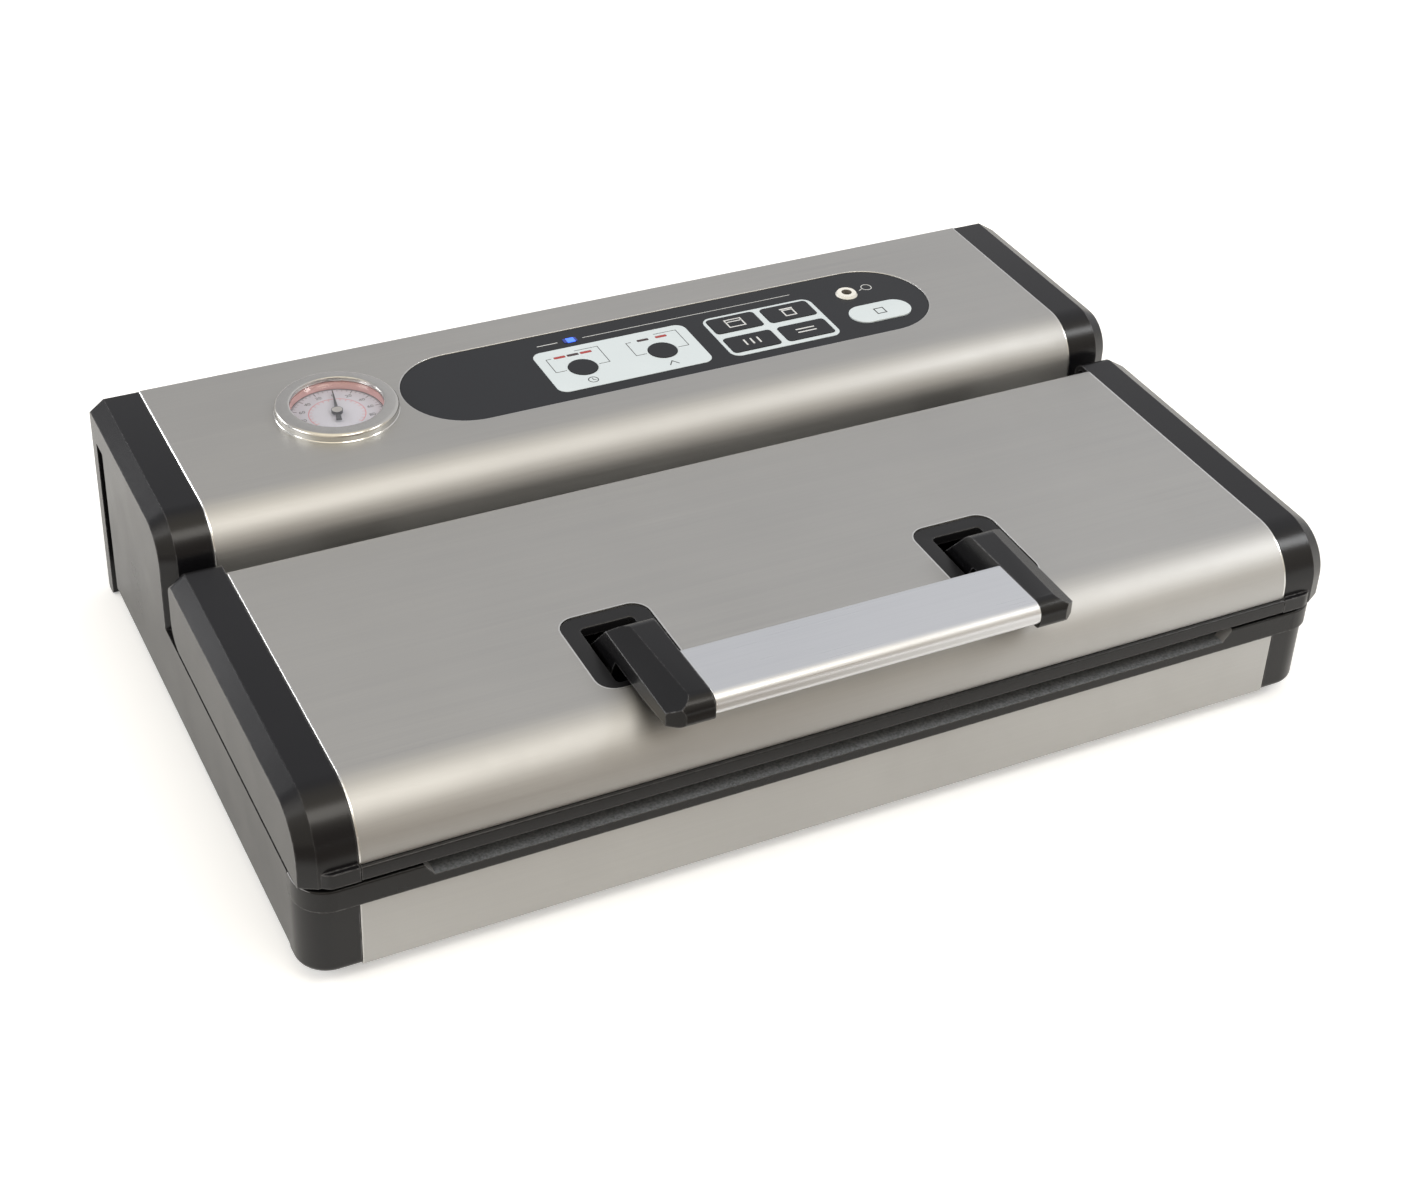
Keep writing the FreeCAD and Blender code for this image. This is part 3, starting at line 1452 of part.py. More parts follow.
def lid_frame():
    """Moulded underside of the lid: lip, floor, shaft bearings and hinge knuckles."""
    reach = half_sheet - seat_gap
    back = lid_hinge_y - hinge_knuckle_radius - 1
    front = lid_front + sheet + seat_gap
    floor_top = lid_bottom + wall
    frame = block((-reach, reach), (front, back), (lid_bottom, floor_top))
    lip_top = lid_sheet_bottom - seat_gap
    lip = across(
        [
            (lid_front - lid_lip, lid_bottom, 0.8),
            (front + wall, lid_bottom),
            (front + wall, lip_top),
            (lid_front - lid_lip, lip_top, 0.8),
        ],
        (-reach, reach))
    front_wall = block((-reach, reach), (front, front + wall), (lid_bottom, lid_top - lid_roll))
    rear_wall = block((-reach, reach), (back - wall, back), (lid_bottom, lid_top - sheet - seat_gap))
    frame = frame.fuse([lip, front_wall, rear_wall])

    # Bearings that carry the handle's shaft
    end_bearing = hook_x - hook_thick / 2 - bearing_width - bearing_room
    bearing_top = shaft_z + shaft_radius + bearing_cover
    for x in (bearing_middle, arm_inner - 2 * bearing_width, arm_outer + bearing_room, end_bearing):
        for sign in (-1, 1):
            near = sorted((sign * x, sign * (x + bearing_width)))
            bearing = across(
                [
                    (shaft_y - bearing_foot, lid_bottom),
                    (shaft_y + bearing_foot, lid_bottom),
                    (shaft_y + shaft_radius + bearing_room, bearing_top, bearing_room),
                    (shaft_y - shaft_radius - bearing_room, bearing_top, bearing_room),
                ],
                near)
            frame = frame.fuse(bearing)
    bore = rod(shaft_radius + run_gap, Vector(-half_sheet, shaft_y, shaft_z), X_AXIS, 2 * half_sheet)
    frame = frame.cut(bore)

    # Hinge knuckles between the ears of the brackets
    for sign in (-1, 1):
        low = sign * hinge_x - hinge_knuckle_width / 2
        hub = Vector(low, lid_hinge_y, lid_hinge_z)
        knuckle = rod(hinge_knuckle_radius, hub, X_AXIS, hinge_knuckle_width)
        arm = block((low, low + hinge_knuckle_width), (back - wall, lid_hinge_y),
                    (lid_hinge_z - hinge_knuckle_radius, lid_hinge_z + hinge_knuckle_radius))
        frame = frame.fuse([knuckle, arm])
        frame = frame.cut(rod(hinge_radius + run_gap, hub - X_AXIS, X_AXIS, hinge_knuckle_width + 2))

    # Grooves for the gasket and the pressure strip, slots for the hooks and room for the arms
    groove = ring(gasket_outline(-seat_gap), gasket_outline(gasket_band + seat_gap),
                  (lid_bottom - 1, lid_bottom + gasket_groove - 0.5))
    frame = frame.cut(groove)
    strip_y = (seal_front - seat_gap, seal_rear() + seat_gap)
    strip_x = seal_half_length + seat_gap
    strip_z = (lid_bottom - 1, lid_bottom + gasket_groove - 0.5)
    frame = frame.cut(block((-strip_x, strip_x), strip_y, strip_z))
    x, y = hook_slot(1.5)
    slot = block(x, (y[0] - 6, y[1] + 4), (0, lid_top))
    return frame.cut(slot).cut(mirrored(slot)).removeSplitter()


def upper_gasket():
    z = (gasket_top + rest_gap, lid_bottom + gasket_groove - 0.5)
    gasket = ring(gasket_outline(0), gasket_outline(gasket_band), z)
    crown = [e for e in gasket.Edges if e.BoundBox.ZMax < z[0] + 0.01]
    return gasket.makeFillet(0.6, crown)


def pressure_strip():
    """Silicone strip that presses the bag on the seal bar."""
    top = lid_bottom + gasket_groove - 0.5
    low = seal_top + strip_thick + tape_thick + rest_gap
    corners = [
        (seal_front, top),
        (seal_front, lid_bottom),
        (seal_front + 1.5, low, 1),
        (seal_rear() - 1.5, low, 1),
        (seal_rear(), lid_bottom),
        (seal_rear(), top),
    ]
    return across(corners, (-seal_half_length, seal_half_length))


# Handle

def handle_front():
    return -handle_overhang


def bar_outline(inset):
    front = handle_front() + inset
    top = arm_top - inset
    return [
        (front, bar_bottom + inset, bar_under_round - inset),
        (front, top, bar_front_round - inset),
        (bar_rear - inset, top - bar_fall, bar_rear_round - inset),
        (bar_rear - inset, bar_bottom + inset, bar_rear_round - inset),
    ]


def handle_bar():
    outside = across(bar_outline(0), (-arm_inner, arm_inner))
    return outside.cut(across(bar_outline(bar_wall), (-arm_inner - 1, arm_inner + 1)))


def handle_arm():
    """Moulded arm: nose, bevelled top, cranked heel and hub on the shaft."""
    front = handle_front()
    heel = shaft_y + arm_hub_radius - 0.5
    under = lid_top + arm_clear
    neck = shaft_y - arm_hub_radius
    side = across(
        [
            (front, bar_bottom - arm_under, arm_nose_under_round),
            (front, arm_top, arm_nose_round),
            (shaft_y - arm_crank, arm_top - arm_fall, arm_crank_round),
            (heel, shaft_z + arm_hub_radius, 3),
            (heel, shaft_z),
            (neck + 0.5, shaft_z),
            (neck - 2, shaft_z + arm_hub_radius + 2, 3),
            (neck - 5, under, 2),
            (bar_rear - arm_crank, under + arm_rise),
        ],
        (arm_inner, arm_outer))
    rear = shaft_y + 2 * arm_hub_radius
    bevelled = lengthwise(
        [
            (arm_inner, shaft_z - arm_hub_radius),
            (arm_outer, shaft_z - arm_hub_radius),
            (arm_outer, arm_top - arm_bevel_drop, 0.6),
            (arm_outer - arm_bevel_width, arm_top, 1.5),
            (arm_inner, arm_top),
        ],
        (front - 1, rear))
    # Nose cut slanting on its outer side, by a shape that reaches past the arm
    cut_side = arm_outer + arm_cut_past
    cut_front = front - 2 * arm_cut_past
    cut_slope = arm_nose_cut / arm_bevel_drop
    nose_x = cut_side - cut_slope * (front + arm_bevel_drop - cut_front)
    plan = upright(
        [
            (arm_inner, cut_front),
            (nose_x, cut_front),
            (cut_side, front + arm_bevel_drop, 1.5),
            (cut_side, rear),
            (arm_inner, rear),
        ],
        (shaft_z - arm_hub_radius, arm_top + 1))
    arm = side.common(bevelled).common(plan)
    hub = rod(arm_hub_radius, Vector(arm_inner, shaft_y, shaft_z), X_AXIS, arm_width)
    tenon = across(bar_outline(bar_wall + tenon_gap), (arm_inner - tenon_length, arm_inner))
    arm = arm.fuse([hub, tenon])
    bore = rod(shaft_radius, Vector(arm_inner - 1, shaft_y, shaft_z), X_AXIS, arm_width + 2)
    return arm.cut(bore).removeSplitter()


def handle_shaft():
    return rod(shaft_radius, Vector(-shaft_half_length, shaft_y, shaft_z), X_AXIS, 2 * shaft_half_length)


def latch_hook():
    """Hook on the end of the shaft: shank straight down, nose to the back."""
    nose_top = deck_floor - catch_room
    low = nose_top - hook_nose_height
    x = (hook_x - hook_thick / 2, hook_x + hook_thick / 2)
    rear = shaft_y
    shank = across(
        [
            (rear - hook_shank, shaft_z),
            (rear - hook_shank, low, 2),
            (rear + hook_nose, low, 3),
            (rear + hook_nose, nose_top, 0.6),
            (rear, nose_top, 0.8),
            (rear, shaft_z),
        ],
        x)
    hub = rod(shaft_radius + 4, Vector(x[0], shaft_y, shaft_z), X_AXIS, hook_thick)
    bore = rod(shaft_radius, Vector(x[0] - 1, shaft_y, shaft_z), X_AXIS, hook_thick + 2)
    return shank.fuse(hub).cut(bore).removeSplitter()


os.makedirs("parts", exist_ok=True)

for side in sides:
    save("side_panel_" + side, on_side(side_panel(), side))
    save("lid_end_cap_" + side, on_side(lid_end_cap(), side))
    save("handle_bezel_" + side, on_side(handle_bezel(), side))
    save("handle_arm_" + side, on_side(handle_arm(), side))
    save("latch_hook_" + side, on_side(latch_hook(), side))
    save("hinge_bracket_" + side, on_side(hinge_bracket(), side))

save("front_panel", front_panel())
save("base_plate", base_plate())
save("rubber_feet", *rubber_feet())
save("base_deck", base_deck())
save("seal_bar", seal_bar())
save("heating_strip", heating_strip())
save("sealing_tape", sealing_tape())
save("vacuum_tray", vacuum_tray())
save("lower_gasket", lower_gasket())
save("hinge_pins", hinge_pin(), mirrored(hinge_pin()))
save("latch_catches", latch_catch(), mirrored(latch_catch()))
save("rear_cover", rear_cover())
save("back_panel", back_panel())
save("housing_screws", *housing_screws())
save("power_inlet", power_inlet())

save("control_overlay", control_overlay())
save("key_panels", *key_panels())
save("control_board", control_board())
save("key_switches", *key_switches())
save("ready_light", light_pipe(ready_light_place, ready_light_size))
save("indicator_lights", *[light_pipe(place, indicator_size) for place in indicator_places()])
save("canister_port", canister_port())
for name, shape in key_shapes().items():
    save(name, key(shape))

save("gauge_bezel", gauge_bezel())
save("gauge_case", gauge_case())
save("gauge_dial", gauge_dial())
save("gauge_lens", gauge_lens())
save("gauge_needle", gauge_needle())

save("pump_bracket", pump_bracket())
save("vacuum_pump", vacuum_pump())
save("pump_motor", pump_motor())
save("pump_fan", pump_fan())
save("release_valve", release_valve())
save("transformer", transformer())
save("power_board", power_board())
save("vacuum_hoses", *vacuum_hoses())

save("lid_cover", lid_cover())
save("lid_frame", lid_frame())
save("upper_gasket", upper_gasket())
save("pressure_strip", pressure_strip())
save("handle_bar", handle_bar())
save("handle_shaft", handle_shaft())
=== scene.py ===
"""Looks of the bench vacuum sealer: softened mouldings, brushed sheets, gauge dial and key marks."""
import json
import math

import bmesh
import bpy
from mathutils import Matrix, Vector

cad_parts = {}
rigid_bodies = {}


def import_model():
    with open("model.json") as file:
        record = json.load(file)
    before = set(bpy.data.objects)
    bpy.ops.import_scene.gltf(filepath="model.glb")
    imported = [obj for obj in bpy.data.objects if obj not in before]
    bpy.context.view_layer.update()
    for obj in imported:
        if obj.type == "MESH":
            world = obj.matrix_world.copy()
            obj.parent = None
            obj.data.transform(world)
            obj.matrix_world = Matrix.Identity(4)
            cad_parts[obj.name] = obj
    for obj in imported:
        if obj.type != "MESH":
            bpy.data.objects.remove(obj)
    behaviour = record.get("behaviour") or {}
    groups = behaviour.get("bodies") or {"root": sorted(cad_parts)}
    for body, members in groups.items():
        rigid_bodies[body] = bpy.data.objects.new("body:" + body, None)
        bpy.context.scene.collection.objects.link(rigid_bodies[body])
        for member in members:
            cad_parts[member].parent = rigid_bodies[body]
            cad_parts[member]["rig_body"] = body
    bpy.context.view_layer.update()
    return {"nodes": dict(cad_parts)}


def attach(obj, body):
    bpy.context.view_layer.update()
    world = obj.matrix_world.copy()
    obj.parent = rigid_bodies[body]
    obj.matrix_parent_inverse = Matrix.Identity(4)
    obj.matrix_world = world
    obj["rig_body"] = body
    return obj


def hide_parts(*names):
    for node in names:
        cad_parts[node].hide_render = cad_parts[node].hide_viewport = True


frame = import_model()
nodes = frame["nodes"]
mm = 0.001

# Places taken from the solids, in millimetres
gauge_x, gauge_y = -138.0, 103.0
dial_z = 100.0
lens_low_z = 103.9
film_z = 102.1
field_z = 102.3
key_z = 102.65
port_x, port_y, port_bore = 128.9, 111.5, 2.62
recess_z = 46.2
recess_half = 190.0
sheet_half = 215.0
lid_top = 88.3
bezel_middle, bezel_half, bezel_near, bezel_far, bezel_corner = 83.5, 20.0, -114.0, -64.0, 8.0
screw_places = [(x, z) for x in (-208.5, 208.5) for z in (27.0, 78.5)]
screw_top, screw_floor, screw_tip = 153.3, 152.3, 145.0

# Fineness of the relief and of the meshes
brush_depth = 0.004 * mm
edge_reach = 1.1 * mm
smooth_angle = math.radians(30.0)
eased_angle = math.radians(28.0)
roll_steps = 14
corner_steps = 6
circle_steps = 32
turn_steps = 96
print_thick = 0.03

# Sockets of Blender's mix node for colours
MIX_SHARE, MIX_FIRST, MIX_SECOND, MIX_RESULT = 0, 6, 7, 2


def tone(red, green, blue):
    """A colour given as screen values from 0 to 255."""
    def linear(value):
        share = value / 255
        if share <= 0.04045:
            return share / 12.92
        return ((share + 0.055) / 1.055) ** 2.4
    return (linear(red), linear(green), linear(blue), 1.0)


# Steps that the finishes are put together from

def feed(tree, value, socket):
    if isinstance(value, bpy.types.NodeSocket):
        tree.links.new(value, socket)
    else:
        socket.default_value = value


def math_step(tree, operation, first, second=0.0, clamp=False):
    node = tree.nodes.new("ShaderNodeMath")
    node.operation = operation
    node.use_clamp = clamp
    feed(tree, first, node.inputs[0])
    feed(tree, second, node.inputs[1])
    return node.outputs["Value"]


def vector_step(tree, operation, first, second, output="Vector"):
    node = tree.nodes.new("ShaderNodeVectorMath")
    node.operation = operation
    feed(tree, first, node.inputs[0])
    feed(tree, second, node.inputs[1])
    return node.outputs[output]


def rescaled(tree, value, source, target):
    node = tree.nodes.new("ShaderNodeMapRange")
    feed(tree, value, node.inputs["Value"])
    for label, number in zip(("From Min", "From Max", "To Min", "To Max"), (*source, *target)):
        node.inputs[label].default_value = number
    return node.outputs["Result"]


def noise(tree, place, scale, detail=2.0, rough=0.5):
    node = tree.nodes.new("ShaderNodeTexNoise")
    feed(tree, place, node.inputs["Vector"])
    feed(tree, scale, node.inputs["Scale"])
    node.inputs["Detail"].default_value = detail
    node.inputs["Roughness"].default_value = rough
    return node.outputs[0]


def blended(tree, share, first, second):
    """Colour between two, by a mask."""
    node = tree.nodes.new("ShaderNodeMix")
    node.data_type = "RGBA"
    feed(tree, share, node.inputs[MIX_SHARE])
    feed(tree, first, node.inputs[MIX_FIRST])
    feed(tree, second, node.inputs[MIX_SECOND])
    return node.outputs[MIX_RESULT]


def own_place(tree):
    """Where a point lies on its piece."""
    return tree.nodes.new("ShaderNodeTexCoord").outputs["Object"]


def own_axis(tree, axis):
    node = tree.nodes.new("ShaderNodeSeparateXYZ")
    tree.links.new(own_place(tree), node.inputs[0])
    return node.outputs[axis]


def new_group(name, inputs, outputs):
    group = bpy.data.node_groups.new(name, "ShaderNodeTree")
    for label, kind, value in inputs:
        group.interface.new_socket(label, in_out="INPUT", socket_type=kind).default_value = value
    for label in outputs:
        group.interface.new_socket(label, in_out="OUTPUT", socket_type="NodeSocketFloat")
    return group, group.nodes.new("NodeGroupInput").outputs, group.nodes.new("NodeGroupOutput").inputs


# Effects shared by several finishes

def make_brushed_grain():
    """Fine lines in one direction and a slow drift of shade across the sheet."""
    group, given, result = new_group(
        "brushed_grain",
        [("Stretch", "NodeSocketVector", (9.0, 1500.0, 1500.0))],
        ["Lines", "Drift"])
    place = own_place(group)
    stretched = vector_step(group, "MULTIPLY", place, given["Stretch"])
    group.links.new(noise(group, stretched, 1.0, 3.0, 0.65), result["Lines"])
    group.links.new(noise(group, place, 11.0), result["Drift"])
    return group


def make_hand_smudges():
    """Faint clouds left by wiping and handling."""
    group, given, result = new_group(
        "hand_smudges", [("Size", "NodeSocketFloat", 10.0)], ["Cloud"])
    place = own_place(group)
    broad = rescaled(group, noise(group, place, given["Size"], 4.0, 0.6), (0.5, 0.72), (0.0, 1.0))
    broken = rescaled(group, noise(group, place, 90.0), (0.3, 0.7), (0.35, 1.0))
    group.links.new(math_step(group, "MULTIPLY", broad, broken), result["Cloud"])
    return group


def make_mould_grain():
    """Spark-eroded texture of a mould and the slight unevenness of its gloss."""
    group, given, result = new_group(
        "mould_grain", [("Fineness", "NodeSocketFloat", 2600.0)], ["Grain", "Mottle"])
    place = own_place(group)
    group.links.new(noise(group, place, given["Fineness"], 2.0, 0.6), result["Grain"])
    group.links.new(noise(group, place, 38.0, 3.0), result["Mottle"])
    return group


def make_rubbed_edges():
    """Mask of the outer edges, where the finishes paint a lighter tone: partly wear, partly painted
    highlight.
    """
    group, given, result = new_group(
        "edge_wear_and_highlight",
        [("Reach", "NodeSocketFloat", 0.6 * mm), ("Least", "NodeSocketFloat", 0.3)],
        ["Edge"])
    rounded = group.nodes.new("ShaderNodeBevel")
    rounded.samples = 4
    group.links.new(given["Reach"], rounded.inputs["Radius"])
    flat = group.nodes.new("ShaderNodeNewGeometry").outputs["Normal"]
    same = vector_step(group, "DOT_PRODUCT", rounded.outputs["Normal"], flat, "Value")
    bent = math_step(group, "SUBTRACT", 1.0, same)
    sharp = rescaled(group, bent, (0.01, 0.16), (0.0, 1.0))
    broken = rescaled(group, noise(group, own_place(group), 420.0, 3.0), (0.3, 0.62), (0.0, 1.0))
    broken = math_step(group, "MAXIMUM", broken, given["Least"])
    group.links.new(math_step(group, "MULTIPLY", sharp, broken, clamp=True), result["Edge"])
    return group


brushed_grain = make_brushed_grain()
hand_smudges = make_hand_smudges()
mould_grain = make_mould_grain()
edge_wear_and_highlight = make_rubbed_edges()


def effect(tree, group, **values):
    node = tree.nodes.new("ShaderNodeGroup")
    node.node_tree = group
    for label, value in values.items():
        node.inputs[label].default_value = value
    return node.outputs


def new_finish(name, sockets):
    material = bpy.data.materials.new(name)
    material.use_nodes = True
    shader = material.node_tree.nodes["Principled BSDF"]
    for label, value in sockets.items():
        shader.inputs[label].default_value = value
    return material, material.node_tree, shader.inputs


def raise_grain(tree, shader, height, depth):
    """Small relief in the surface, its depth in metres."""
    node = tree.nodes.new("ShaderNodeBump")
    node.inputs["Distance"].default_value = depth
    node.inputs["Strength"].default_value = 1.0
    tree.links.new(height, node.inputs["Height"])
    tree.links.new(node.outputs["Normal"], shader["Normal"])


# Finishes

def brushed_metal(name, dark, light, gloss, stretch, turned_axis="X", streak=0.5):
    """Metal brushed along one direction, clouded a little by handling, its edges painted near white as a
    highlight.
    """
    material, tree, shader = new_finish(name, {"Metallic": 1.0, "Anisotropic": streak})
    grain = effect(tree, brushed_grain, Stretch=stretch)
    cloud = effect(tree, hand_smudges)["Cloud"]
    edge = effect(tree, edge_wear_and_highlight, Reach=edge_reach, Least=0.85)["Edge"]
    shade = math_step(tree, "MULTIPLY", grain["Lines"], 0.55)
    shade = math_step(tree, "ADD", shade, math_step(tree, "MULTIPLY", grain["Drift"], 0.45))
    shade = math_step(tree, "SUBTRACT", shade, math_step(tree, "MULTIPLY", cloud, 0.18), clamp=True)
    colour = blended(tree, shade, dark, light)
    # Painted highlight: the edges turn near white.
    tree.links.new(blended(tree, edge, colour, tone(250, 250, 248)), shader["Base Color"])
    rough = rescaled(tree, grain["Lines"], (0.25, 0.75), gloss)
    rough = math_step(tree, "ADD", rough, math_step(tree, "MULTIPLY", cloud, 0.05))
    polish = rescaled(tree, edge, (0.0, 1.0), (1.0, 0.45))
    tree.links.new(math_step(tree, "MULTIPLY", rough, polish), shader["Roughness"])
    raise_grain(tree, shader, grain["Lines"], brush_depth)
    along = tree.nodes.new("ShaderNodeTangent")
    along.direction_type = "RADIAL"
    along.axis = turned_axis
    tree.links.new(along.outputs["Tangent"], shader["Tangent"])
    return material


def moulded(name, dark, light, gloss, fineness=2600.0, depth=0.012 * mm, edge_wear_and_highlight_tone=None, gleam=0.4):
    """Moulded plastic or rubber with its mould's grain, and edges lightened to a given tone: partly wear,
    partly painted highlight.
    """
    material, tree, shader = new_finish(name, {"Specular IOR Level": gleam})
    grain = effect(tree, mould_grain, Fineness=fineness)
    cloud = effect(tree, hand_smudges, Size=14.0)["Cloud"]
    colour = blended(tree, grain["Mottle"], dark, light)
    if edge_wear_and_highlight_tone:
        edge = effect(tree, edge_wear_and_highlight, Reach=edge_reach)["Edge"]
        # Edges lightened toward the given tone: partly wear, partly painted highlight.
        colour = blended(tree, math_step(tree, "MULTIPLY", edge, 0.5), colour, edge_wear_and_highlight_tone)
    tree.links.new(colour, shader["Base Color"])
    rough = rescaled(tree, grain["Mottle"], (0.3, 0.7), gloss)
    rough = math_step(tree, "ADD", rough, math_step(tree, "MULTIPLY", cloud, 0.02))
    tree.links.new(rough, shader["Roughness"])
    raise_grain(tree, shader, grain["Grain"], depth)
    return material


def plain_metal(name, dark, light, gloss, patch, depth=0.01 * mm):
    """Cast, rolled or plated metal with a crystal-like patchwork of shades."""
    material, tree, shader = new_finish(name, {"Metallic": 1.0})
    patches = tree.nodes.new("ShaderNodeTexVoronoi")
    tree.links.new(own_place(tree), patches.inputs["Vector"])
    patches.inputs["Scale"].default_value = patch
    spangle = math_step(tree, "FRACT", math_step(tree, "MULTIPLY", patches.outputs["Color"], 3.7))
    grain = effect(tree, mould_grain, Fineness=1800.0)
    tree.links.new(blended(tree, spangle, dark, light), shader["Base Color"])
    tree.links.new(rescaled(tree, grain["Mottle"], (0.3, 0.7), gloss), shader["Roughness"])
    raise_grain(tree, shader, grain["Grain"], depth)
    return material


def deck_moulding():
    """Black moulding whose bag recess has a coarser, bluish texture, lightened as painted light, with painted
    highlights on the recess's sloped ends.
    """
    material = moulded("deck_moulding", tone(18, 18, 20), tone(23, 23, 25), (0.26, 0.3), 2300.0,
                       edge_wear_and_highlight_tone=tone(150, 150, 152), gleam=0.36)
    tree = material.node_tree
    shader = tree.nodes["Principled BSDF"].inputs
    below = math_step(tree, "LESS_THAN", own_axis(tree, "Z"), recess_z * mm)
    across = math_step(tree, "ABSOLUTE", own_axis(tree, "X"))
    between = math_step(tree, "LESS_THAN", across, recess_half * mm)
    facing = tree.nodes.new("ShaderNodeSeparateXYZ")
    tree.links.new(tree.nodes.new("ShaderNodeNewGeometry").outputs["Normal"], facing.inputs[0])
    level = math_step(tree, "GREATER_THAN", facing.outputs["Z"], 0.7)
    recess = math_step(tree, "MULTIPLY", math_step(tree, "MULTIPLY", below, between), level)
    black = shader["Base Color"].links[0].from_socket
    speckle = rescaled(tree, effect(tree, mould_grain, Fineness=900.0)["Grain"], (0.35, 0.65), (0.0, 1.0))
    # Bluish textured bag floor, its tone raised as painted light to make up for the shade under the lid's
    # lip.
    bluish_lightened = blended(tree, speckle, tone(104, 107, 112), tone(134, 138, 143))
    floor = blended(tree, recess, black, bluish_lightened)
    # Painted highlight on the sloped ends of the recess.
    steep = math_step(tree, "ABSOLUTE", facing.outputs["X"])
    slope_highlight = math_step(tree, "MULTIPLY", math_step(tree, "GREATER_THAN", steep, 0.6),
                        math_step(tree, "GREATER_THAN", facing.outputs["Z"], 0.4))
    tree.links.new(blended(tree, slope_highlight, floor, tone(150, 151, 154)), shader["Base Color"])
    return material


def port_moulding():
    """White moulding, darkened inside the canister socket's bore as painted shade."""
    material = moulded("white_plastic", tone(230, 230, 226), tone(240, 240, 237), (0.25, 0.33))
    tree = material.node_tree
    shader = tree.nodes["Principled BSDF"].inputs
    across = math_step(tree, "SUBTRACT", own_axis(tree, "X"), port_x * mm)
    along = math_step(tree, "SUBTRACT", own_axis(tree, "Y"), port_y * mm)
    lengths = [math_step(tree, "ABSOLUTE", step) for step in (across, along)]
    squares = [math_step(tree, "POWER", length, 2.0) for length in lengths]
    distance = math_step(tree, "SQRT", math_step(tree, "ADD", *squares))
    # Painted shade: the bore darkens within its radius.
    bore_shade = math_step(tree, "LESS_THAN", distance, port_bore * mm)
    white = shader["Base Color"].links[0].from_socket
    tree.links.new(blended(tree, bore_shade, white, tone(126, 120, 114)), shader["Base Color"])
    return material


def lit_window(name, dull, lit, glow, spans):
    """Tinted windows, of which those over the given stretches along X are lit."""
    material, tree, shader = new_finish(name, {"Roughness": 0.22, "Coat Weight": 0.4})
    along = own_axis(tree, "X")
    mask = 0.0
    for low, high in spans:
        inside = math_step(tree, "MULTIPLY", math_step(tree, "GREATER_THAN", along, low * mm),
                           math_step(tree, "LESS_THAN", along, high * mm))
        mask = math_step(tree, "ADD", inside, mask)
    grain = effect(tree, mould_grain, Fineness=1400.0)["Grain"]
    mask = math_step(tree, "MULTIPLY", mask, rescaled(tree, grain, (0.2, 0.7), (0.75, 1.0)))
    tree.links.new(blended(tree, mask, dull, lit), shader["Base Color"])
    tree.links.new(blended(tree, mask, (0.0, 0.0, 0.0, 1.0), lit), shader["Emission Color"])
    shader["Emission Strength"].default_value = glow
    return material


def gauge_needle_finish():
    """Black lacquered pointer on a bright hub."""
    material, tree, shader = new_finish("needle_lacquer", {"Specular IOR Level": 0.5})
    middle = vector_step(tree, "SUBTRACT", own_place(tree), (gauge_x * mm, gauge_y * mm, 0.0))
    level = vector_step(tree, "MULTIPLY", middle, (1.0, 1.0, 0.0))
    from_axis = vector_step(tree, "LENGTH", level, (0.0, 0.0, 0.0), "Value")
    hub = math_step(tree, "LESS_THAN", from_axis, 2.3 * mm)
    grain = effect(tree, mould_grain, Fineness=1500.0)
    lacquer = blended(tree, grain["Mottle"], tone(44, 45, 49), tone(56, 57, 61))
    tree.links.new(blended(tree, hub, lacquer, tone(226, 222, 214)), shader["Base Color"])
    tree.links.new(hub, shader["Metallic"])
    tree.links.new(rescaled(tree, grain["Mottle"], (0.3, 0.7), (0.24, 0.36)), shader["Roughness"])
    return material


def gauge_glass_finish():
    """Clear disc that lets the light through to the dial."""
    material, tree, shader = new_finish(
        "gauge_glass", {"Base Color": (1.0, 1.0, 1.0, 1.0), "Transmission Weight": 1.0, "IOR": 1.45})
    cloud = effect(tree, hand_smudges, Size=60.0)["Cloud"]
    tree.links.new(rescaled(tree, cloud, (0.0, 1.0), (0.0, 0.04)), shader["Roughness"])
    clear = tree.nodes.new("ShaderNodeBsdfTransparent")
    either = tree.nodes.new("ShaderNodeMixShader")
    tree.links.new(tree.nodes.new("ShaderNodeLightPath").outputs["Is Shadow Ray"], either.inputs[0])
    tree.links.new(tree.nodes["Principled BSDF"].outputs[0], either.inputs[1])
    tree.links.new(clear.outputs[0], either.inputs[2])
    tree.links.new(either.outputs[0], tree.nodes["Material Output"].inputs["Surface"])
    return material


def tape_finish():
    """Coated glass cloth: a plain weave under a waxy coat."""
    material, tree, shader = new_finish("coated_tape", {"Coat Weight": 0.25, "Coat Roughness": 0.3})
    def thread(axis):
        node = tree.nodes.new("ShaderNodeTexWave")
        node.bands_direction = axis
        tree.links.new(own_place(tree), node.inputs["Vector"])
        node.inputs["Scale"].default_value = 420.0
        return node.outputs[1]
    weave = math_step(tree, "MULTIPLY", thread("X"), thread("Y"))
    tree.links.new(blended(tree, weave, tone(120, 92, 62), tone(170, 140, 104)), shader["Base Color"])
    tree.links.new(rescaled(tree, weave, (0.0, 1.0), (0.5, 0.36)), shader["Roughness"])
    raise_grain(tree, shader, weave, 0.03 * mm)
    return material


def foam_finish():
    """Closed-cell foam, its cut cells showing as pits."""
    material, tree, shader = new_finish("gasket_foam", {"Specular IOR Level": 0.3})
    cells = tree.nodes.new("ShaderNodeTexVoronoi")
    tree.links.new(own_place(tree), cells.inputs["Vector"])
    cells.inputs["Scale"].default_value = 1300.0
    pit = rescaled(tree, cells.outputs["Distance"], (0.0, 0.6), (0.0, 1.0))
    tree.links.new(blended(tree, pit, tone(34, 34, 36), tone(64, 64, 66)), shader["Base Color"])
    tree.links.new(rescaled(tree, pit, (0.0, 1.0), (0.95, 0.72)), shader["Roughness"])
    raise_grain(tree, shader, pit, 0.12 * mm)
    return material


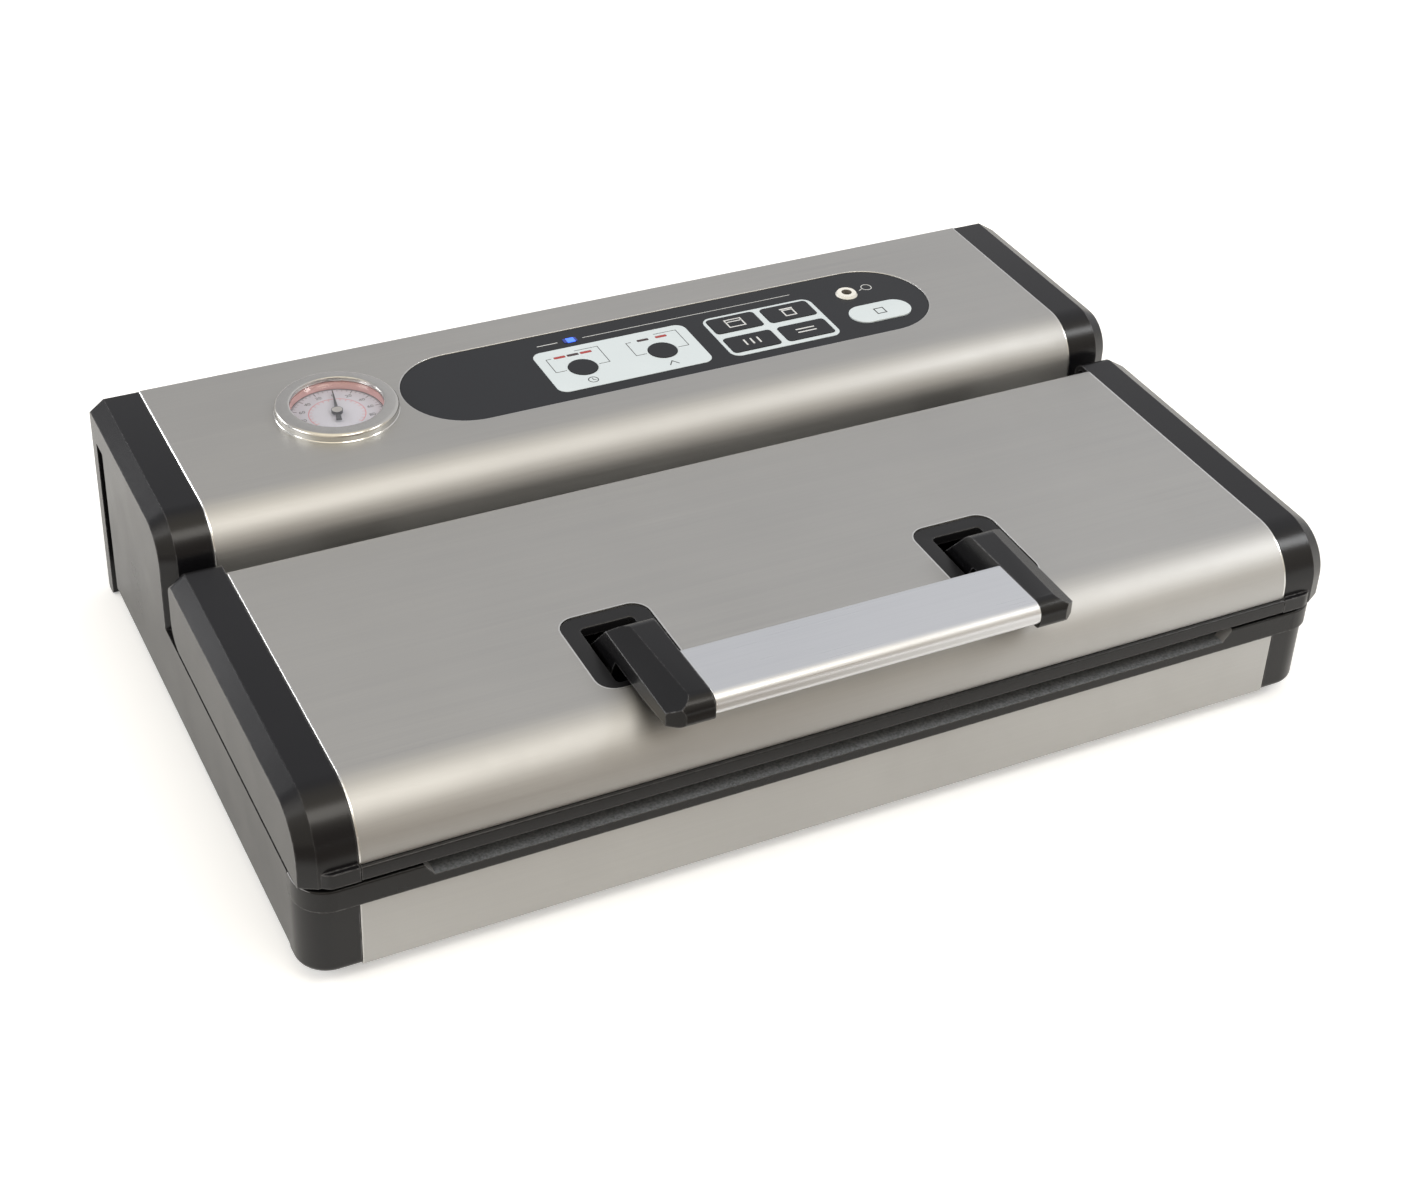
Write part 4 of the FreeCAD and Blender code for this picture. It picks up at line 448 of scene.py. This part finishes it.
def board_finish():
    """Lacquered circuit board with copper tracks under the lacquer."""
    material, tree, shader = new_finish("board_lacquer", {"Coat Weight": 0.3, "Roughness": 0.4})
    tracks = tree.nodes.new("ShaderNodeTexBrick")
    tree.links.new(own_place(tree), tracks.inputs["Vector"])
    tracks.inputs["Scale"].default_value = 130.0
    tracks.inputs["Mortar Size"].default_value = 0.03
    tracks.inputs["Color1"].default_value = tone(24, 84, 48)
    tracks.inputs["Color2"].default_value = tone(28, 92, 54)
    tracks.inputs["Mortar"].default_value = tone(62, 122, 70)
    tree.links.new(tracks.outputs["Color"], shader["Base Color"])
    raise_grain(tree, shader, tracks.outputs["Fac"], 0.03 * mm)
    return material


along_width = (9.0, 1500.0, 1500.0)
round_the_ring = (260.0, 260.0, 1400.0)
# Lighter edge tone of the black mouldings: partly wear, partly painted highlight.
black_edge_wear_and_highlight = tone(150, 150, 154)
ready_span = [(-17.8, -13.8)]
lit_spans = [(-30.5, -23.0), (-17.2, -10.0), (22.0, 29.0)]

finishes = {
    "stainless": brushed_metal(
        "brushed_stainless", tone(180, 180, 180), tone(202, 202, 201), (0.46, 0.54), along_width, streak=0.4),
    "satin_aluminium": brushed_metal(
        "satin_aluminium", tone(224, 226, 230), tone(244, 246, 249), (0.26, 0.34), along_width),
    "bright_steel": brushed_metal(
        "ring_steel", tone(200, 198, 193), tone(222, 220, 215), (0.15, 0.22), round_the_ring, "Z", 0.3),
    "black_moulding": moulded(
        "black_moulding", tone(16, 16, 19), tone(20, 20, 23), (0.23, 0.27), edge_wear_and_highlight_tone=black_edge_wear_and_highlight),
    "handle_moulding": moulded(
        "handle_moulding", tone(16, 16, 18), tone(20, 20, 22), (0.2, 0.25), edge_wear_and_highlight_tone=black_edge_wear_and_highlight, gleam=0.42),
    "zinc_steel": plain_metal(
        "zinc_plate", tone(160, 162, 160), tone(190, 192, 190), (0.26, 0.38), 240.0),
    "motor_steel": plain_metal(
        "motor_steel", tone(120, 122, 126), tone(150, 152, 156), (0.35, 0.5), 160.0),
    "cast_aluminium": plain_metal(
        "cast_aluminium", tone(150, 151, 152), tone(178, 179, 180), (0.45, 0.6), 420.0, 0.05 * mm),
    "heating_alloy": plain_metal(
        "heating_alloy", tone(140, 132, 122), tone(168, 160, 150), (0.3, 0.42), 600.0),
    "control_film": moulded(
        "control_film", tone(27, 29, 34), tone(31, 33, 38), (0.36, 0.42), 3400.0, 0.008 * mm),
    "white_film": moulded(
        "white_film", tone(210, 221, 228), tone(217, 227, 234), (0.36, 0.44), 3400.0, 0.006 * mm),
    "dark_key": moulded(
        "dark_key", tone(25, 27, 32), tone(29, 31, 36), (0.32, 0.38), 3000.0, 0.008 * mm),
    "white_key": moulded(
        "white_key", tone(210, 221, 228), tone(219, 229, 236), (0.34, 0.42), 3000.0, 0.008 * mm),
    "white_plastic": port_moulding(),
    "switch_black": moulded(
        "switch_black", tone(26, 26, 28), tone(34, 34, 36), (0.4, 0.5)),
    "dial_face": moulded(
        "dial_enamel", tone(190, 190, 200), tone(200, 200, 210), (0.42, 0.5), 1800.0, 0.006 * mm),
    "tray_smoke": moulded(
        "tray_smoke", tone(52, 53, 56), tone(60, 61, 64), (0.2, 0.28), edge_wear_and_highlight_tone=tone(104, 105, 108)),
    "bar_phenolic": moulded(
        "bar_phenolic", tone(84, 54, 36), tone(106, 70, 48), (0.45, 0.55), 900.0),
    "silicone": moulded(
        "silicone", tone(150, 52, 44), tone(166, 62, 52), (0.45, 0.55)),
    "foot_rubber": moulded(
        "foot_rubber", tone(30, 30, 31), tone(38, 38, 39), (0.6, 0.72), 1500.0, 0.03 * mm),
    "blue_light": lit_window(
        "blue_light", tone(40, 60, 160), tone(64, 108, 255), 1.6, ready_span),
    "red_light": lit_window(
        "red_light", tone(56, 36, 38), tone(164, 54, 50), 0.2, lit_spans),
    "needle_black": gauge_needle_finish(),
    "gauge_glass": gauge_glass_finish(),
    "coated_tape": tape_finish(),
    "gasket_foam": foam_finish(),
    "board_green": board_finish(),
}
deck_finish = deck_moulding()
light_print = moulded("light_print", tone(214, 217, 220), tone(226, 229, 231), (0.45, 0.55))
dark_print = moulded("dark_print", tone(50, 51, 55), tone(60, 61, 65), (0.45, 0.55))
red_print = moulded("red_print", tone(204, 120, 128), tone(214, 134, 140), (0.45, 0.55))
# Lighter copy of the brushed steel for the edge strips and bezel rings: painted highlight.
edge_highlight_finish = brushed_metal(
    "painted_edge_highlight", tone(226, 226, 224), tone(236, 236, 234), (0.32, 0.38), along_width, streak=0.2)
bezel_finish = moulded(
    "bezel_moulding", tone(18, 18, 20), tone(22, 22, 24), (0.34, 0.42),
    edge_wear_and_highlight_tone=tone(110, 110, 114), gleam=0.45)
hinge_finish = plain_metal("black_zinc", tone(44, 44, 47), tone(58, 58, 62), (0.4, 0.5), 300.0)
sleeve_finish = moulded("gauge_sleeve", tone(196, 150, 148), tone(212, 168, 164), (0.3, 0.4))

slots = {name: node.data.materials[0].name for name, node in nodes.items()}
for name, node in nodes.items():
    node.data.materials[0] = finishes[slots[name]]


# Pieces

def put_in(mesh, name, finish, body):
    piece = bpy.data.objects.new(name, mesh)
    bpy.context.scene.collection.objects.link(piece)
    mesh.materials.clear()
    mesh.materials.append(finish)
    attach(piece, body)
    return piece


def mesh_of(bm, name):
    bmesh.ops.recalc_face_normals(bm, faces=bm.faces)
    mesh = bpy.data.meshes.new(name)
    bm.to_mesh(mesh)
    bm.free()
    mesh.shade_smooth()
    mesh.set_sharp_from_angle(angle=smooth_angle)
    return mesh


def soften(node, width, finish=None, segments=2):
    """Stands in for a solid with its sharp edges eased, as they come out of a mould or press."""
    bm = bmesh.new()
    bm.from_mesh(nodes[node].data)
    bmesh.ops.remove_doubles(bm, verts=bm.verts, dist=0.002 * mm)
    bmesh.ops.dissolve_limit(bm, angle_limit=math.radians(0.4), verts=bm.verts, edges=bm.edges)
    mesh = bpy.data.meshes.new(node + "_eased")
    bm.to_mesh(mesh)
    bm.free()
    stale = ("custom_normal", "sharp_edge", "sharp_face")
    for layer in [layer for layer in mesh.attributes if layer.name in stale]:
        mesh.attributes.remove(layer)
    mesh.shade_smooth()
    mesh.set_sharp_from_angle(angle=eased_angle)
    body = nodes[node]["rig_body"]
    slot = slots[node]
    piece = put_in(mesh, node + "_eased", finish or finishes[slot], body)
    ease = piece.modifiers.new("eased_edges", "BEVEL")
    ease.width = width * mm
    ease.segments = segments
    ease.limit_method = "ANGLE"
    ease.angle_limit = eased_angle
    ease.harden_normals = True
    ease.use_clamp_overlap = True
    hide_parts(node)


for side in ("left", "right"):
    soften("side_panel_" + side, 0.7)
    soften("lid_end_cap_" + side, 0.7)
    soften("handle_bezel_" + side, 0.35, bezel_finish)
    soften("handle_arm_" + side, 0.6)
    nodes["hinge_bracket_" + side].data.materials[0] = hinge_finish
nodes["hinge_pins"].data.materials[0] = hinge_finish
nodes["base_deck"].data.materials[0] = deck_finish
soften("lid_frame", 0.4)
soften("front_panel", 0.3)
soften("rear_cover", 0.6, segments=3)
soften("lid_cover", 0.6, segments=3)
soften("handle_bar", 0.3)
soften("back_panel", 0.3)
soften("power_inlet", 0.4)


def stroke(bm, points, width, low, thick, closed=False):
    """A flat printed line along points in millimetres, lying on the height given."""
    ends = len(points)
    rings = []
    for i, point in enumerate(points):
        here = Vector(point)
        before = Vector(points[i - 1]) if closed or i > 0 else None
        after = Vector(points[(i + 1) % ends]) if closed or i < ends - 1 else None
        into = (here - before).normalized() if before else (after - here).normalized()
        out = (after - here).normalized() if after else into
        aside = Vector((-into.y, into.x))
        mitre = (aside + Vector((-out.y, out.x))).normalized()
        reach = width / 2 / max(0.35, mitre.dot(aside))
        left, right = here + mitre * reach, here - mitre * reach
        top = low + thick
        section = ((left, low), (right, low), (right, top), (left, top))
        rings.append([bm.verts.new((corner.x * mm, corner.y * mm, z * mm)) for corner, z in section])
    for i in range(ends if closed else ends - 1):
        first, second = rings[i], rings[(i + 1) % ends]
        for k in range(4):
            bm.faces.new((first[k], first[(k + 1) % 4], second[(k + 1) % 4], second[k]))
    if not closed:
        bm.faces.new(rings[0])
        bm.faces.new(rings[-1][::-1])


def arc(x, y, radius, start, end, steps):
    """Points round a centre, angles clockwise from the far side, in degrees."""
    turns = [math.radians(start + (end - start) * i / steps) for i in range(steps + 1)]
    return [(x + radius * math.sin(t), y + radius * math.cos(t)) for t in turns]


def circle(x, y, radius):
    return arc(x, y, radius, 0.0, 360.0, circle_steps)[:-1]


def printed(name, lines, height, finish, body):
    """One piece of printed lines: each is (points, width, closed)."""
    bm = bmesh.new()
    for points, width, closed in lines:
        stroke(bm, points, width, height, print_thick, closed)
    put_in(mesh_of(bm, name), name, finish, body)


# Bright strips along the sheets' edges: a lighter copy of the steel as painted highlight

def sheet_profile(back, face, top, roll, edge):
    """Outline of a rolled sheet seen from the side, from its back to its lower front edge."""
    turns = [math.radians(90.0 * i / roll_steps) for i in range(roll_steps + 1)]
    bend = [(face + roll * (1 - math.sin(t)), top - roll * (1 - math.cos(t))) for t in turns]
    return [(back, top)] + bend + [(face, edge)]


def edge_strip(name, profile, x, inward, body):
    """Narrow strip along the end of a sheet, a hair above its face, finished as a painted highlight."""
    section = [(0.0, -0.4), (0.0, -0.2), (0.3, 0.05), (0.75, 0.05), (0.75, -0.2)]
    bm = bmesh.new()
    rows = []
    for i, (y, z) in enumerate(profile):
        before, after = profile[max(0, i - 1)], profile[min(len(profile) - 1, i + 1)]
        along = Vector((after[0] - before[0], after[1] - before[1])).normalized()
        points = [(x + inward * across, y + along.y * up, z - along.x * up) for across, up in section]
        rows.append([bm.verts.new(Vector(point) * mm) for point in points])
    for first, second in zip(rows, rows[1:]):
        for k in range(len(section)):
            following = (k + 1) % len(section)
            bm.faces.new((first[k], first[following], second[following], second[k]))
    bm.faces.new(rows[0])
    bm.faces.new(rows[-1][::-1])
    put_in(mesh_of(bm, name), name, edge_highlight_finish, body)


def bezel_outline(x):
    """Rounded outline of a handle bezel, a little outside it."""
    half, corner = bezel_half - bezel_corner, bezel_corner + 0.3
    far, near = bezel_far - bezel_corner, bezel_near + bezel_corner
    places = [(x + half, far), (x + half, near), (x - half, near), (x - half, far)]
    outline = []
    for turn, (corner_x, corner_y) in enumerate(places):
        outline += arc(corner_x, corner_y, corner, 90 * turn, 90 * turn + 90, corner_steps)
    return outline


lid_profile = sheet_profile(back=19.5, face=-141.0, top=lid_top, roll=24.0, edge=60.8)
housing_profile = sheet_profile(back=152.5, face=37.5, top=102.5, roll=20.0, edge=70.0)
for side, sign in (("left", -1.0), ("right", 1.0)):
    edge_strip("lid_edge_" + side, lid_profile, sign * sheet_half, -sign, "lid")
    edge_strip("housing_edge_" + side, housing_profile, sign * sheet_half, -sign, "base")
    # Bright ring round each bezel opening: painted highlight.
    ring_line = [(bezel_outline(sign * bezel_middle), 0.6, True)]
    printed("bezel_edge_" + side, ring_line, lid_top, edge_highlight_finish, "lid")


# Screws of the back panel

def cross_screws(name, node):
    """Pan heads with a cross recess, on their shanks."""
    slot_reach, slot_half, least_sine = 1.7, 0.42, 0.001
    corner = math.degrees(math.atan2(slot_half, slot_reach))
    quarter = [0.0, corner, 24.0, 34.5, 45.0, 55.5, 66.0, 90.0 - corner]
    angles = [math.radians(90.0 * turn + angle) for turn in range(4) for angle in quarter]
    leans = [abs((angle + math.pi / 4) % (math.pi / 2) - math.pi / 4) for angle in angles]
    cross = [min(slot_reach / math.cos(lean), slot_half / max(math.sin(lean), least_sine)) for lean in leans]
    head = [
        (1.5, screw_tip), (1.5, 151.7), (3.25, 151.7), (3.25, 152.3), (3.05, 152.85), (2.6, 153.15),
        (2.15, screw_top),
    ]
    rows = [[(radius, y) for _ in angles] for radius, y in head]
    rows.append([(radius, screw_top) for radius in cross])
    rows.append([(0.75 * radius, screw_floor) for radius in cross])
    following = list(range(1, len(angles))) + [0]
    bm = bmesh.new()
    for x, z in screw_places:
        rings = []
        for row in rows:
            points = [(x + radius * math.cos(angle), y, z + radius * math.sin(angle))
                      for angle, (radius, y) in zip(angles, row)]
            rings.append([bm.verts.new(Vector(point) * mm) for point in points])
        for first, second in zip(rings, rings[1:]):
            for i, after in enumerate(following):
                bm.faces.new((first[i], first[after], second[after], second[i]))
        for ring, y in ((rings[0], screw_tip), (rings[-1], screw_floor)):
            centre = bm.verts.new((x * mm, y * mm, z * mm))
            for i, after in enumerate(following):
                bm.faces.new((ring[i], ring[after], centre))
    slot = slots[node]
    piece = put_in(mesh_of(bm, name), name, finishes[slot], nodes[node]["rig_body"])
    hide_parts(node)


cross_screws("back_screws", "housing_screws")

# Dial: nought where the needle rests, the vacuum scale to its left
rest_turn = 12.0
degrees_per_unit = 1.28
dial_low, dial_high = -100, 100
tick_step, red_step, number_step = 5, 10, 20
tick_outer, tick_inner, long_tick_inner, rim_radius = 20.4, 19.2, 18.2, 20.5
red_outer, red_inner = 12.8, 11.2
number_radius, number_size = 15.8, 3.0


def dial_turn(value):
    return rest_turn + value * degrees_per_unit


def ray(turn, inner, outer):
    return [arc(gauge_x, gauge_y, radius, turn, turn, 1)[0] for radius in (inner, outer)]


def scale_line(radius, steps):
    """Arc over the whole scale."""
    return arc(gauge_x, gauge_y, radius, dial_turn(dial_low), dial_turn(dial_high), steps)


ticks = []
for value in range(dial_low, dial_high + 1, tick_step):
    inner, width = (long_tick_inner, 0.32) if value % number_step == 0 else (tick_inner, 0.2)
    ticks.append((ray(dial_turn(value), inner, tick_outer), width, False))
ticks.append((scale_line(rim_radius, 96), 0.22, False))
printed("dial_ticks", ticks, dial_z, dark_print, "base")

red_scale = [(scale_line(red_outer, 80), 0.35, False)]
for value in range(dial_low, dial_high + 1, red_step):
    red_scale.append((ray(dial_turn(value), red_inner, red_outer), 0.25, False))
printed("dial_red_scale", red_scale, dial_z, red_print, "base")


def numerals(name, entries, size, height, finish, body):
    """Numbers as flat meshes: each entry is (text, x, y)."""
    bm = bmesh.new()
    for text, x, y in entries:
        letters = bpy.data.curves.new("numeral", "FONT")
        letters.body = text
        letters.size = size * mm
        letters.align_x = "CENTER"
        letters.align_y = "CENTER"
        letters.extrude = print_thick / 2 * mm
        letters.resolution_u = 3
        holder = bpy.data.objects.new("numeral", letters)
        bpy.context.scene.collection.objects.link(holder)
        bpy.context.view_layer.update()
        seen = holder.evaluated_get(bpy.context.evaluated_depsgraph_get())
        flat = bpy.data.meshes.new_from_object(seen)
        flat.transform(Matrix.Translation((x * mm, y * mm, (height + print_thick / 2) * mm)))
        bm.from_mesh(flat)
        bpy.data.objects.remove(holder)
        bpy.data.curves.remove(letters)
        bpy.data.meshes.remove(flat)
    bmesh.ops.remove_doubles(bm, verts=bm.verts, dist=0.001 * mm)
    put_in(mesh_of(bm, name), name, finish, body)


dial_numbers = []
for value in range(dial_low + number_step, dial_high, number_step):
    x, y = ray(dial_turn(value), number_radius, number_radius)[0]
    dial_numbers.append((str(abs(value)), x, y))
numerals("dial_numerals", dial_numbers, number_size, dial_z, dark_print, "base")


def turned(name, profile, finish):
    """Closed ring of the gauge, turned from (radius, height) corners in millimetres."""
    bm = bmesh.new()
    rows = []
    for i in range(turn_steps):
        angle = 2 * math.pi * i / turn_steps
        points = [(gauge_x + r * math.cos(angle), gauge_y + r * math.sin(angle), z) for r, z in profile]
        rows.append([bm.verts.new(Vector(point) * mm) for point in points])
    for i in range(turn_steps):
        first, second = rows[i], rows[(i + 1) % turn_steps]
        for k in range(len(profile)):
            following = (k + 1) % len(profile)
            bm.faces.new((first[k], first[following], second[following], second[k]))
    return put_in(mesh_of(bm, name), name, finish, "base")


# Ring with a broad flat face, a rolled shoulder and a small foot
ring_profile = [
    (24.05, 103.0), (28.25, 102.5), (28.25, 103.0), (28.0, 103.25), (27.95, 104.9), (27.9, 105.6),
    (27.6, 106.2), (27.1, 106.65), (26.5, 106.9), (26.1, 106.95), (22.2, 107.3), (21.6, 107.25),
    (21.2, 107.0), (21.1, 106.6), (21.1, 105.3), (24.05, 105.3),
]
ring = turned("gauge_ring", ring_profile, finishes["bright_steel"])
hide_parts("gauge_bezel")


# Pale red wall between the dial and its glass, and a dark ring at its foot, painted shadow of the gap between
# wall and dial

def band(inner, outer, low, high):
    """Square section of a plain ring."""
    return [(inner, low), (outer, low), (outer, high), (inner, high)]


turned("gauge_sleeve", band(21.3, 22.5, dial_z + 0.06, lens_low_z - 0.05), sleeve_finish)
# Painted shadow: dark ring where the wall meets the dial.
turned("gauge_foot_shade", band(20.9, 21.6, dial_z + 0.02, dial_z + 0.05), dark_print)


# Lines that join each round key to its windows

def key_brackets(x):
    key_y, left_y, right_y = 96.0, 108.3, 111.2
    left = [(x - 8.2, key_y), (x - 13.6, key_y), (x - 13.6, left_y), (x - 11.0, left_y)]
    right = [(x + 8.2, key_y), (x + 13.8, key_y), (x + 13.8, right_y), (x + 2.0, right_y)]
    return [(left, 0.35, False), (right, 0.35, False)]


seal_time_x, pressure_x = -20.3, 20.8
setting_lines = key_brackets(seal_time_x) + key_brackets(pressure_x)
printed("setting_lines", setting_lines, field_z, dark_print, "base")

# Plain signs: a clock for the sealing time, a rising arrow for the pressure
setting_signs = [
    (circle(seal_time_x, 84.0, 2.3), 0.45, True),
    ([(seal_time_x, 85.6), (seal_time_x, 84.0), (-19.1, 83.3)], 0.4, False),
    ([(18.4, 82.2), (pressure_x, 85.6), (23.2, 82.2)], 0.5, False),
]
printed("setting_signs", setting_signs, field_z, dark_print, "base")

film_signs = [
    ([(-33.0, 121.5), (-22.5, 121.5)], 0.5, False),
    ([(-9.5, 121.5), (102.0, 121.5)], 0.35, False),
    (circle(141.5, 114.0, 2.6), 0.4, True),
    ([(136.6, 112.2), (138.4, 113.2)], 0.4, False),
]
printed("film_signs", film_signs, film_z, light_print, "base")


def bag(x, y):
    """A bag with its seam."""
    return [
        ([(x - 4.2, y - 3.4), (x + 4.2, y - 3.4), (x + 4.2, y + 3.4), (x - 4.2, y + 3.4)], 0.75, True),
        ([(x - 4.2, y + 1.4), (x + 4.2, y + 1.4)], 0.75, False),
    ]


def jar(x, y):
    """A lidded jar."""
    return [
        ([(x - 2.8, y - 3.6), (x + 2.8, y - 3.6), (x + 2.8, y + 1.6), (x - 2.8, y + 1.6)], 0.75, True),
        ([(x - 3.5, y + 2.9), (x + 3.5, y + 2.9)], 1.0, False),
    ]


def pulses(x, y):
    """Three short strokes."""
    return [([(x + dx, y - 2.6), (x + dx, y + 2.6)], 0.9, False) for dx in (-3.6, 0.0, 3.6)]


def seam(x, y):
    """Two lines of a seam."""
    return [([(x - 5.0, y + dy), (x + 5.0, y + dy)], 0.9, False) for dy in (-1.4, 1.4)]


left_x, right_x, far_y, near_y = 64.2, 93.4, 106.2, 87.4
key_signs = {
    "vacuum_seal_key": bag(left_x, far_y),
    "canister_key": jar(right_x, far_y),
    "pulse_key": pulses(left_x, near_y),
    "manual_seal_key": seam(right_x, near_y),
}
for key, lines in key_signs.items():
    printed(key + "_sign", lines, key_z, light_print, key)
stop_sign = [([(133.6, 87.6), (138.4, 87.6), (138.4, 92.4), (133.6, 92.4)], 0.6, True)]
printed("cancel_key_sign", stop_sign, key_z, dark_print, "cancel_key")


# Studio

def studio_world():
    """Grey room with a warm glow overhead and a dim patch in front, white past the floor's edge."""
    left_wall, right_wall = (0.48, 0.48, 0.495, 1.0), (0.68, 0.68, 0.695, 1.0)
    front_wall, ground = (0.72, 0.66, 0.56, 1.0), (0.93, 0.93, 0.93, 1.0)
    front_patch, overhead = (0.32, 0.27, 0.225, 1.0), (1.24, 1.13, 0.92, 1.0)
    world = bpy.data.worlds.new("studio")
    bpy.context.scene.world = world
    world.use_nodes = True
    tree = world.node_tree
    room = tree.nodes["Background"]
    outward = tree.nodes.new("ShaderNodeTexCoord").outputs["Generated"]
    split = tree.nodes.new("ShaderNodeSeparateXYZ")
    tree.links.new(outward, split.inputs[0])

    to_right = rescaled(tree, split.outputs["X"], (0.15, 0.65), (0.0, 1.0))
    walls = blended(tree, to_right, left_wall, right_wall)
    in_front = rescaled(tree, split.outputs["Y"], (0.1, -0.4), (0.0, 1.0))
    walls = blended(tree, in_front, walls, front_wall)
    below = rescaled(tree, split.outputs["Z"], (0.02, -0.04), (0.0, 1.0))
    walls = blended(tree, below, walls, ground)
    near_front = vector_step(tree, "DOT_PRODUCT", outward, (0.1, -0.99, 0.05), "Value")
    dim = rescaled(tree, near_front, (0.8, 0.95), (0.0, 1.0))
    walls = blended(tree, dim, walls, front_patch)
    near_top = vector_step(tree, "DOT_PRODUCT", outward, (-0.2, -0.22, 0.955), "Value")
    glow = rescaled(tree, near_top, (0.68, 0.98), (0.0, 1.0))
    tree.links.new(blended(tree, glow, walls, overhead), room.inputs["Color"])

    white = tree.nodes.new("ShaderNodeBackground")
    white.inputs["Color"].default_value = (1.0, 1.0, 1.0, 1.0)
    either = tree.nodes.new("ShaderNodeMixShader")
    tree.links.new(tree.nodes.new("ShaderNodeLightPath").outputs["Is Camera Ray"], either.inputs[0])
    tree.links.new(room.outputs[0], either.inputs[1])
    tree.links.new(white.outputs[0], either.inputs[2])
    tree.links.new(either.outputs[0], tree.nodes["World Output"].inputs["Surface"])


def soft_box(name, place, target, size, power, colour):
    lamp = bpy.data.lights.new(name, "AREA")
    lamp.shape = "RECTANGLE"
    lamp.size, lamp.size_y = size
    lamp.energy = power
    lamp.color = colour
    holder = bpy.data.objects.new(name, lamp)
    bpy.context.scene.collection.objects.link(holder)
    holder.location = place
    holder.rotation_euler = (Vector(target) - Vector(place)).to_track_quat("-Z", "Y").to_euler()


def pale_floor():
    """White paper, with a patch of painted shade in front that shows only in the reflections."""
    half = 20.0
    corners = [(-half, -half, 0), (half, -half, 0), (half, half, 0), (-half, half, 0)]
    mesh = bpy.data.meshes.new("floor")
    mesh.from_pydata(corners, [], [(0, 1, 2, 3)])
    floor = bpy.data.objects.new("floor", mesh)
    bpy.context.scene.collection.objects.link(floor)
    material, tree, shader = new_finish("floor_paper", {"Roughness": 0.9, "Specular IOR Level": 0.1})
    cloud = noise(tree, own_place(tree), 3.0)
    paper = blended(tree, cloud, (0.92, 0.93, 0.945, 1.0), (0.94, 0.95, 0.965, 1.0))
    seen = tree.nodes.new("ShaderNodeLightPath").outputs["Is Camera Ray"]
    # Painted shade on the floor ahead, seen only by rays that are not the camera's.
    ahead = rescaled(tree, own_axis(tree, "Y"), (-0.19, -0.26), (0.0, 1.0))
    aside = rescaled(tree, own_axis(tree, "X"), (0.27, 0.02), (0.0, 1.0))
    patch = math_step(tree, "MULTIPLY", ahead, aside)
    dim = math_step(tree, "MULTIPLY", patch, math_step(tree, "SUBTRACT", 1.0, seen))
    tree.links.new(blended(tree, dim, paper, (0.24, 0.205, 0.17, 1.0)), shader["Base Color"])
    shader["Emission Color"].default_value = (1.0, 1.0, 1.0, 1.0)
    tree.links.new(rescaled(tree, seen, (0.0, 1.0), (0.06, 0.34)), shader["Emission Strength"])
    mesh.materials.append(material)


studio_world()
pale_floor()
soft_box("left_box", (-1.9, 0.1, 1.1), (0.0, 0.0, 0.05), (0.9, 0.9), 8.0, (1.0, 1.0, 1.0))
soft_box("front_box", (0.18, -1.05, 1.57), (-0.2, -0.12, 0.08), (0.8, 0.7), 6.0, (1.0, 0.97, 0.92))
soft_box("right_box", (1.3, -0.75, 1.35), (0.22, -0.1, 0.08), (0.45, 0.45), 6.0, (0.96, 0.98, 1.0))
soft_box("rear_box", (-1.5, 1.5, 0.75), (-0.1, 0.0, 0.08), (0.9, 0.5), 9.0, (1.0, 1.0, 1.0))

camera_place = (-0.42285, -0.80493, 0.6928)
forward = Vector((0.39681, 0.73449, -0.55052))
right = Vector((0.89289, -0.44793, 0.04597))
lens = bpy.data.cameras.new("camera")
lens.lens = 62.311
lens.sensor_width = 36.0
lens.shift_x = -0.0191
lens.shift_y = -0.078
camera = bpy.data.objects.new("camera", lens)
bpy.context.scene.collection.objects.link(camera)
upward = right.cross(forward)
turn = Matrix((right, upward, -forward)).transposed().to_4x4()
camera.matrix_world = Matrix.Translation(camera_place) @ turn
bpy.context.scene.camera = camera
bpy.context.scene.view_settings.view_transform = "Standard"
